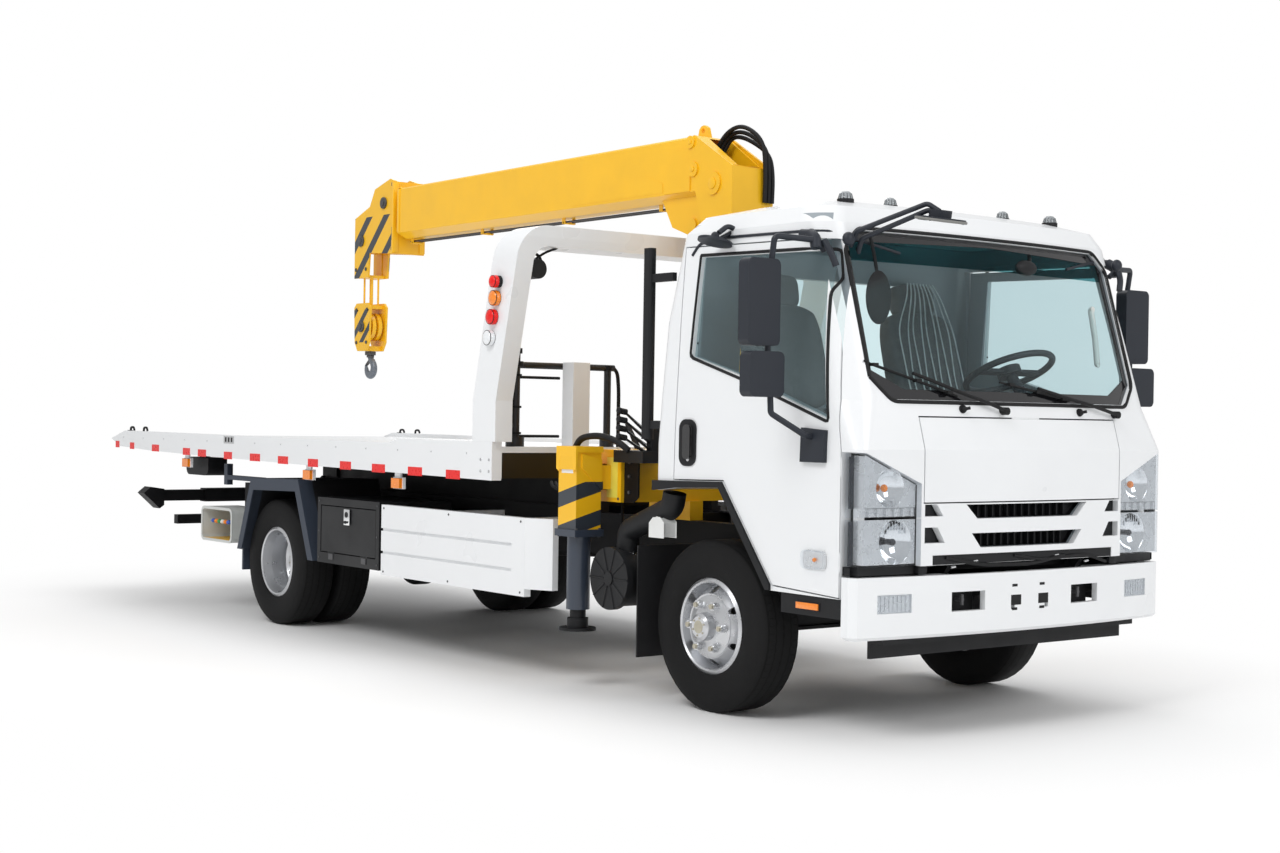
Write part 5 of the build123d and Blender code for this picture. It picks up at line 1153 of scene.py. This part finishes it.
def makeLegTrim():
    for word, side in sides:
        body = f"outrigger_{word}"
        bm, label, bolts = startMeshes(3)
        face = side * 1076
        outline = [(-1041, 1206), (-873, 1206), (-873, 1096), (-895, 1078), (-905, 1156), (-1009, 1156),
                   (-1019, 1078), (-1041, 1096)]
        addPrism(bm, outline, "y", face + side * 8, face + side * 11)
        addPrism(label, [(-1006, 1072), (-908, 1072), (-908, 1154), (-1006, 1154)], "y", face, face + side * 1.5)
        for x in (-1030, -884):
            for y in (930, 1070):
                addPeg(bolts, x, side * y, (752, 762), 9, 6)
                addPeg(bolts, x, side * y, (790, 800), 9, 6)
        endMesh(bm, f"legLip{word.title()}", body, yellowPaint)
        endMesh(label, f"legLabel{word.title()}", body, labelWhite)
        endMesh(bolts, f"legBolts{word.title()}", body, castMetal)
    label, bolts, plates, tank, silver, hoses = startMeshes(6)
    addPrism(label, [(-930, 950), (-842, 950), (-842, 1152), (-930, 1152)], "y", -850, -851.5)
    for side in (-1, 1):
        outline = [(-818, 930), (-812, 1150), (-762, 1186), (-700, 1186), (-700, 960), (-740, 930)]
        addPrism(plates, outline, "y", side * 822, side * 830)
        for z in (980, 1060, 1130):
            addPeg(bolts, -770, (side * 830, side * 838), z, 9, 6)
        for x in (-1080, -835):
            for z in (945, 1175):
                addPeg(bolts, x, (side * 849, side * 853), z, 7, 8)
    addPeg(plates, -998, -700, (640, 930), 7, 10)
    addTube(silver, [(-701, -930, 684), (-645, -930, 684), (-589, -930, 684)], 5, 4, 8)
    addTurned(silver, [(59, -7), (61, -7), (61, 7), (59, 7)], (-645, -930, 690), "z", 36)
    addPeg(silver, (-590, -576), -938, 690, 8, 8)
    addPrism(tank, [(-396, 790), (-396, 852), (-370, 876), (-318, 880), (-291, 858), (-291, 790)], "y", -992, -915)
    addPeg(tank, -357, -958, (868, 894), 24, 20)
    addBall(tank, (-357, -958, 898), 26, (1, 1, 0.8), 16)
    addTube(hoses, [(-1060, -960, 1190), (-1010, -960, 1250), (-860, -950, 1262), (-740, -930, 1235),
                    (-690, -900, 1190)], 17, 70, 10)
    addTube(hoses, [(-1120, -520, 1192), (-1130, -560, 1290), (-1060, -640, 1330), (-960, -660, 1250),
                    (-930, -650, 1192)], 11, 70, 8)
    for k in range(4):
        x = -1120 + k * 40
        addTube(hoses, [(x, -840, 985), (x - 60, -900, 960), (x - 170, -930, 985), (x - 230, -900, 1010)], 9, 60, 8)
    endMesh(label, "baseLabel", "chassis", labelYellow)
    endMesh(bolts, "baseBolts", "chassis", castMetal)
    endMesh(plates, "cabBrackets", "chassis", chassisBlack, bevel=2)
    endMesh(tank, "washerTank", "chassis", tankPlastic, bevel=5)
    endMesh(silver, "hoseClamp", "chassis", brightSteel, angle=50)
    endMesh(hoses, "baseHoses", "chassis", rubberBlack, angle=50)
    bm, knobs = startMeshes(2)
    for index in range(4):
        z = 1230 + index * 42
        addRod(bm, (-617, -850, 1188 + index * 34), (-617, -985, z + 25), 5, 8)
        addRod(knobs, (-617, -972, z + 22), (-617, -1020, z + 30), 11, 16, 17)
        addBall(knobs, (-617, -1020, z + 30), 16.6, (1, 0.6, 1), 14)
    endMesh(bm, "leverStems", "chassis", brightSteel)
    endMesh(knobs, "leverKnobs", "chassis", rubberBlack, angle=40)


makeLegTrim()


# Boom: hoses at the root, rope along the underside, rollers and guides at the head
# Each root hose is given by its shift, lift and reach, each head pin by its place and radius
boomTrim = {"hoseRadius": 12, "ropeRadius": 6, "rootHoses": ((40, 0, 0), (66, -30, 18), (92, -62, 34)),
            "headPins": ((truck["hookX"], 2560, 40), (-4580, 2800, 40), (-4460, 2920, 18), (-4460, 2480, 16),
                         (-4820, 2360, 14), (-4960, 2360, 14))}
ropeDark = surface("ropeSteel", (0.08, 0.08, 0.085), 0.45, metallic=0.8, grain=40, bump=0.3, bumpScale=500)


def makeBoomTrim():
    bm = bmesh.new()
    for shift, lift, reach in boomTrim["rootHoses"]:
        addTube(bm, [(-1175 + reach, shift * 0.6, 2790), (-1090, shift * 0.8, 2900 + lift * 0.3),
                     (-960 - reach, shift, 2930 + lift), (-812 - reach * 0.4, shift + 20, 2830 + lift),
                     (-806, shift + 30, 2650), (-812, shift + 30, 2500)], boomTrim["hoseRadius"], 120, 10, 8)
    rootHoses = endMesh(bm, "rootHoses", None, rubberBlack, angle=50)
    place(-810, 60, 2540)
    place(-1000, 60, 2880)
    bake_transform(rootHoses)
    bm = bmesh.new()
    for k in range(3):
        y = -110 + k * 34
        addTube(bm, [(-1062, y, 2318), (-1110 - k * 10, y - 10, 2390), (-1060, y - 20, 2450), (-990, y - 10, 2400),
                     (-960, y, 2330)], 9, 60, 8, 5)
    endMesh(bm, "boomHoses", "crane_column", rubberBlack, angle=50)
    bm = bmesh.new()
    addBox(bm, (-1075, -1052), (-118, -50), (2270, 2340))
    for k in range(3):
        addPeg(bm, -1064, -104 + k * 22, (2336, 2362), 8, 6)
    endMesh(bm, "columnValve", "crane_column", castMetal, bevel=2)
    bm = bmesh.new()
    for side in (-1, 1):
        for dx, dz, radius in ((0, 0, 30), (-168, 90, 16), (-192, 238, 14)):
            addPeg(bm, -980 + dx, (side * 152, side * 158), 2600 + dz, radius, 6 if dx else 24)
    endMesh(bm, "columnPins", "crane_column", yellowPaint, bevel=1.5)
    bm = bmesh.new()
    addRod(bm, (-4310, -24, 2522), (-1500, -24, 2516), boomTrim["ropeRadius"], 10)
    addRod(bm, (-4310, 24, 2522), (-1500, 24, 2516), boomTrim["ropeRadius"], 10)
    endMesh(bm, "boomRope", "boom", ropeDark)
    bm = bmesh.new()
    for x in (-4270, -3400, -2500, -1560):
        for side in (-1, 1):
            addBox(bm, (x - 14, x + 14), (side * 34, side * 40), (2506, 2545))
        addPeg(bm, x, (-40, 40), 2512, 8, 12)
    endMesh(bm, "ropeGuides", "boom", yellowPaint)
    bm = bmesh.new()
    for side in (-1, 1):
        addBox(bm, (-4328, -4300), (side * 121, side * 127), (2580, 2868))
        addPrism(bm, [(-2300, 2590), (-1440, 2590), (-1440, 2640), (-1600, 2700), (-2200, 2610)], "y", side * 121.6,
                 side * 124)
    addBox(bm, (-4328, -4302), (-124, 124), (2874, 2880))
    endMesh(bm, "boomDoublers", "boom", yellowPaint, bevel=1)
    bm, bolts, rollers = startMeshes(3)
    for side in (-1, 1):
        for x, z, radius in boomTrim["headPins"]:
            large = radius > 30
            addPeg(bolts, x, (side * 84, side * (96 if large else 90)), z, radius, 28 if large else 6)
            if large:
                addPeg(bolts, x, (side * 96, side * 103), z, radius * 0.55, 6)
        addBox(bm, (-4400, -4380), (side * 84, side * 126), (2450, 2920))
    for z in (2462, 2905):
        addPeg(rollers, -4430, (-62, 62), z, 20, 20)
    addTube(rollers, [(-4700, 0, 2890), (-4560, 0, 2905), (-4430, 0, 2890)], 8, 30, 8)
    endMesh(bm, "headFlange", "boom_tip", yellowPaint, bevel=2)
    endMesh(bolts, "headPins", "boom_tip", castMetal, bevel=1.5)
    endMesh(rollers, "headRollers", "boom_tip", brightSteel, angle=50)


makeBoomTrim()

# Hook block: swivel, sheave pin, bolts, and the forged hook with its latch
# The hook's middle line as (distance forward, height), with the radius there
hookShape = (((0, 1789), 22), ((0, 1752), 22), ((6, 1736), 24), ((34, 1716), 25), ((54, 1688), 27),
             ((54, 1656), 29), ((38, 1630), 30), ((8, 1618), 29), ((-24, 1626), 26), ((-46, 1648), 21),
             ((-56, 1676), 15), ((-60, 1696), 8))


def addVaried(bm, path, middleX, segments=16, squash=0.82):
    rings = []
    for index, ((dx, z), radius) in enumerate(path):
        (ax, az), (bx, bz) = path[max(index - 1, 0)][0], path[min(index + 1, len(path) - 1)][0]
        length = math.hypot(bx - ax, bz - az)
        nx, nz = -(bz - az) / length, (bx - ax) / length
        rings.append([bm.verts.new(place(middleX + dx + nx * radius * math.cos(a), radius * squash * math.sin(a),
                                         z + nz * radius * math.cos(a))) for a in turnAngles(segments)])
    for low, high in zip(rings, rings[1:]):
        bridge(bm, low, high)
    bm.faces.new(rings[0])
    bm.faces.new(list(reversed(rings[-1])))


def makeHook():
    bm = bmesh.new()
    x = truck["hookX"]
    addVaried(bm, hookShape, x)
    hook = endMesh(bm, "forgedHook", "hook_block", hookGrey, angle=60)
    smooth = hook.modifiers.new("smooth", "SUBSURF")
    smooth.levels = smooth.render_levels = 2
    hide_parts("hook")
    bm = bmesh.new()
    addPeg(bm, x, 0, (1762, 1788), 38, 28)
    addPeg(bm, x, 0, (1746, 1762), 30, 6)
    addPrism(bm, [(-4946, 1690), (-4936, 1700), (-4884, 1738), (-4876, 1728)], "y", -11, 11)
    for side in (-1, 1):
        addPeg(bm, x, (side * 72, side * 86), 1960, 38, 28)
        addPeg(bm, x, (side * 86, side * 93), 1960, 22, 6)
        for dx, z in ((-74, 2080), (74, 2080), (-70, 1850), (70, 1850)):
            addPeg(bm, x + dx, (side * 71, side * 80), z, 12, 6)
    endMesh(bm, "hookFittings", "hook_block", castMetal, bevel=1.5)


makeHook()
print("stage: crane pieces")

# Cab inside: crowned seats under a clear cover, dash panels, grab handle, inner mirror, wheel boss
# Each cushion is given by its middle's X and Z, its size, tilt and crown
seatShape = {"Cushion": (215, 1318, (490, 490, 150), -4, 16), "Back": (-42, 1650, (130, 470, 500), -14, 16),
             "Head": (-118, 1968, (100, 260, 160), -8, 6)}


def addCushion(bm, centre, size, tilt, crown, steps=12):
    # Pillow whose faces bulge by the crown and whose edges stay round
    turn = Matrix.Translation(place(*centre)) @ Matrix.Rotation(math.radians(tilt), 4, "Y")
    bmesh.ops.create_cube(bm, size=2)
    bmesh.ops.subdivide_edges(bm, edges=bm.edges[:], cuts=steps, use_grid_fill=True)
    for v in bm.verts:
        u = v.co.copy()
        r = [math.copysign(abs(c) ** 0.9, c) for c in u]
        point = Vector([r[k] * size[k] / 2000 * (1 - 0.1 * (r[k - 1] ** 4 + r[k - 2] ** 4)) for k in range(3)])
        if abs(u.z) > 0.99:
            point.z += math.copysign(crown / 1000 * (1 - u.x ** 2) * (1 - u.y ** 2), u.z)
        v.co = turn @ point


def makeSeats():
    for word, y in (("Passenger", -470), ("Driver", 470)):
        for part, (x, z, size, tilt, crown) in seatShape.items():
            bm = bmesh.new()
            addCushion(bm, (x, y, z), size, tilt, crown)
            piece = endMesh(bm, f"seat{part}{word}", "cab", seatCloth, angle=80)
    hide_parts("cab_seats")
    bases, folds = startMeshes(2)
    for y in (-470, 470):
        addBox(bases, (-20, 440), (y - 215, y + 215), (1092, 1250))
    endMesh(bases, "seatBases", "cab", greyPlastic, bevel=12)
    for k in range(9):
        y, wave = 270 + k * 50, (-1) ** k
        addTube(folds, [(120, y, 1410), (60, y + 6 * wave, 1560), (-4, y - 8 * wave, 1820),
                        (-30, y * 0.6 + 188, 1990), (-60, y * 0.45 + 258, 2056)], 3.5, 60, 6, 4)
    endMesh(folds, "coverFolds", "cab", coverSheet, angle=60)


makeSeats()
dashGrey = surface("dashGrey", (0.16, 0.18, 0.2), 0.5, grain=6, bump=0.15, bumpScale=900)


def makeCabInside():
    grey, dark, white = startMeshes(3)
    for y in (-560, 0, 560):
        addBox(dark, (760, 800), (y - 90, y + 90), (1440, 1452))
    addBox(grey, (640, 668), (-300, 60), (1180, 1390))
    for k in range(3):
        addPeg(dark, (640, 632), -240 + k * 110, 1330, 26, 20)
    addRod(grey, (150, 120, 1092), (190, 110, 1430), 12, 12)
    addBall(dark, (190, 110, 1440), 28, (1, 1, 1.2), 14)
    addBox(grey, (-150, 350), (-120, 120), (1092, 1330))
    addTube(white, [(842, 716, 1905), (828, 716, 1905), (858, 716, 1760), (872, 716, 1640), (880, 716, 1640)],
            14, 18, 10)
    addTube(dark, [(790, -730, 2150), (800, -712, 2060), (812, -700, 1960)], 8, 30, 8)
    addTurned(dark, [(0, -8), (70, -8), (78, 0), (70, 8), (0, 8)], (815, -700, 1890), "x", 28, closed=False,
              squeeze=1.5)
    addTube(dark, [(770, 330, 2170), (800, 300, 2120), (826, 270, 2090)], 10, 30, 8)
    addBall(dark, (822, 250, 2075), 46, (0.5, 1.6, 0.8), 16)
    endMesh(grey, "dashPanels", "cab", dashGrey, bevel=8)
    endMesh(dark, "insideFittings", "cab", darkPlastic, angle=50)
    endMesh(white, "grabHandle", "cab", palePlastic, angle=50)


makeCabInside()
print("stage: cab inside")


# Floor, light and camera
stageLook = {"floorColour": (0.93, 0.93, 0.93), "floorSize": 30, "skyPower": 0.62, "fadeFrom": 3.6,
             "fadeTo": 6.5}
# Name, place, size and power of each lamp
studioLamps = (("keySoft", (4.5, -9.0, 9.5), 5.0, 560), ("fillSoft", (11.0, 1.0, 5.5), 4.0, 200),
               ("topSoft", (-1.0, 1.0, 9.0), 6.0, 255), ("rearSoft", (-9.0, 7.0, 6.0), 5.0, 200))


def cameraRay(tree):
    return tree.nodes.new("ShaderNodeLightPath").outputs["Is Camera Ray"]


def makeFloor():
    bm = bmesh.new()
    bmesh.ops.create_grid(bm, x_segments=1, y_segments=1, size=stageLook["floorSize"])
    floor = linkMesh(bm, "floor")
    material, tree, shader, vector, xAxis, yAxis, _ = newMaterial("floorPaper", Roughness=0.7,
                                                                  Specular_IOR_Level=0.15)
    tone = stageLook["floorColour"]
    lighter = tuple(min(1, c * 1.02) for c in tone)
    setWhole(shader, Base_Color=mixColour(tree, noiseOf(tree, vector, 0.5), tone, lighter))
    away = (xAxis * xAxis + yAxis * yAxis * 3.0).math("SQRT")
    fade = mapRange(tree, away, stageLook["fadeFrom"], stageLook["fadeTo"])
    fade.interpolation_type = "SMOOTHSTEP"
    paper = tree.nodes.new("ShaderNodeEmission")
    setWhole(paper, Color=(1, 1, 1), Strength=1.0)
    share = NodeValue(tree, fade.outputs[0]) * cameraRay(tree)
    blank = mixShaders(tree, share, shader.outputs[0], paper.outputs[0])
    plug(blank, tree.nodes["Material Output"].inputs["Surface"])
    floor.data.materials.append(material)


def makeLight():
    world = bpy.data.worlds.new("studioSky")
    bpy.context.scene.world = world
    world.use_nodes = True
    tree = world.node_tree
    sky, plain = tree.nodes["Background"], tree.nodes.new("ShaderNodeBackground")
    setWhole(sky, Color=(1, 1, 1), Strength=stageLook["skyPower"])
    setWhole(plain, Color=(1, 1, 1), Strength=1.0)
    mixed = mixShaders(tree, cameraRay(tree), sky.outputs[0], plain.outputs[0])
    plug(mixed, tree.nodes["World Output"].inputs["Surface"])
    for name, spot, size, power in studioLamps:
        light = bpy.data.lights.new(name, "AREA")
        light.size = size
        light.energy = power
        lamp = bpy.data.objects.new(name, light)
        lamp.location = spot
        lamp.rotation_euler = (Vector((0, 0, 1)) - Vector(spot)).to_track_quat("-Z", "Y").to_euler()
        bpy.context.scene.collection.objects.link(lamp)


cameraView = {"place": (6444.4, -6333.8, 1352.1), "turn": 52.3614, "pitch": -0.2731, "roll": 0.9147, "lens": 51.297}


def makeCamera():
    turn, pitch, roll = (math.radians(cameraView[key]) for key in ("turn", "pitch", "roll"))
    ahead = Vector((-math.sin(turn) * math.cos(pitch), math.cos(turn) * math.cos(pitch), math.sin(pitch)))
    level = Vector((math.cos(turn), math.sin(turn), 0))
    up = level.cross(ahead)
    right = level * math.cos(roll) + up * math.sin(roll)
    top = up * math.cos(roll) - level * math.sin(roll)
    data = bpy.data.cameras.new("photoCamera")
    data.sensor_width = 36
    data.lens = cameraView["lens"]
    data.clip_end = 200
    camera = bpy.data.objects.new("photoCamera", data)
    matrix = Matrix((right, top, -ahead)).transposed().to_4x4()
    matrix.translation = place(*cameraView["place"])
    camera.matrix_world = matrix
    bpy.context.scene.collection.objects.link(camera)
    bpy.context.scene.camera = camera


makeFloor()
makeLight()
makeCamera()
bpy.context.scene.view_settings.view_transform = "Standard"
print("stage: light and camera")
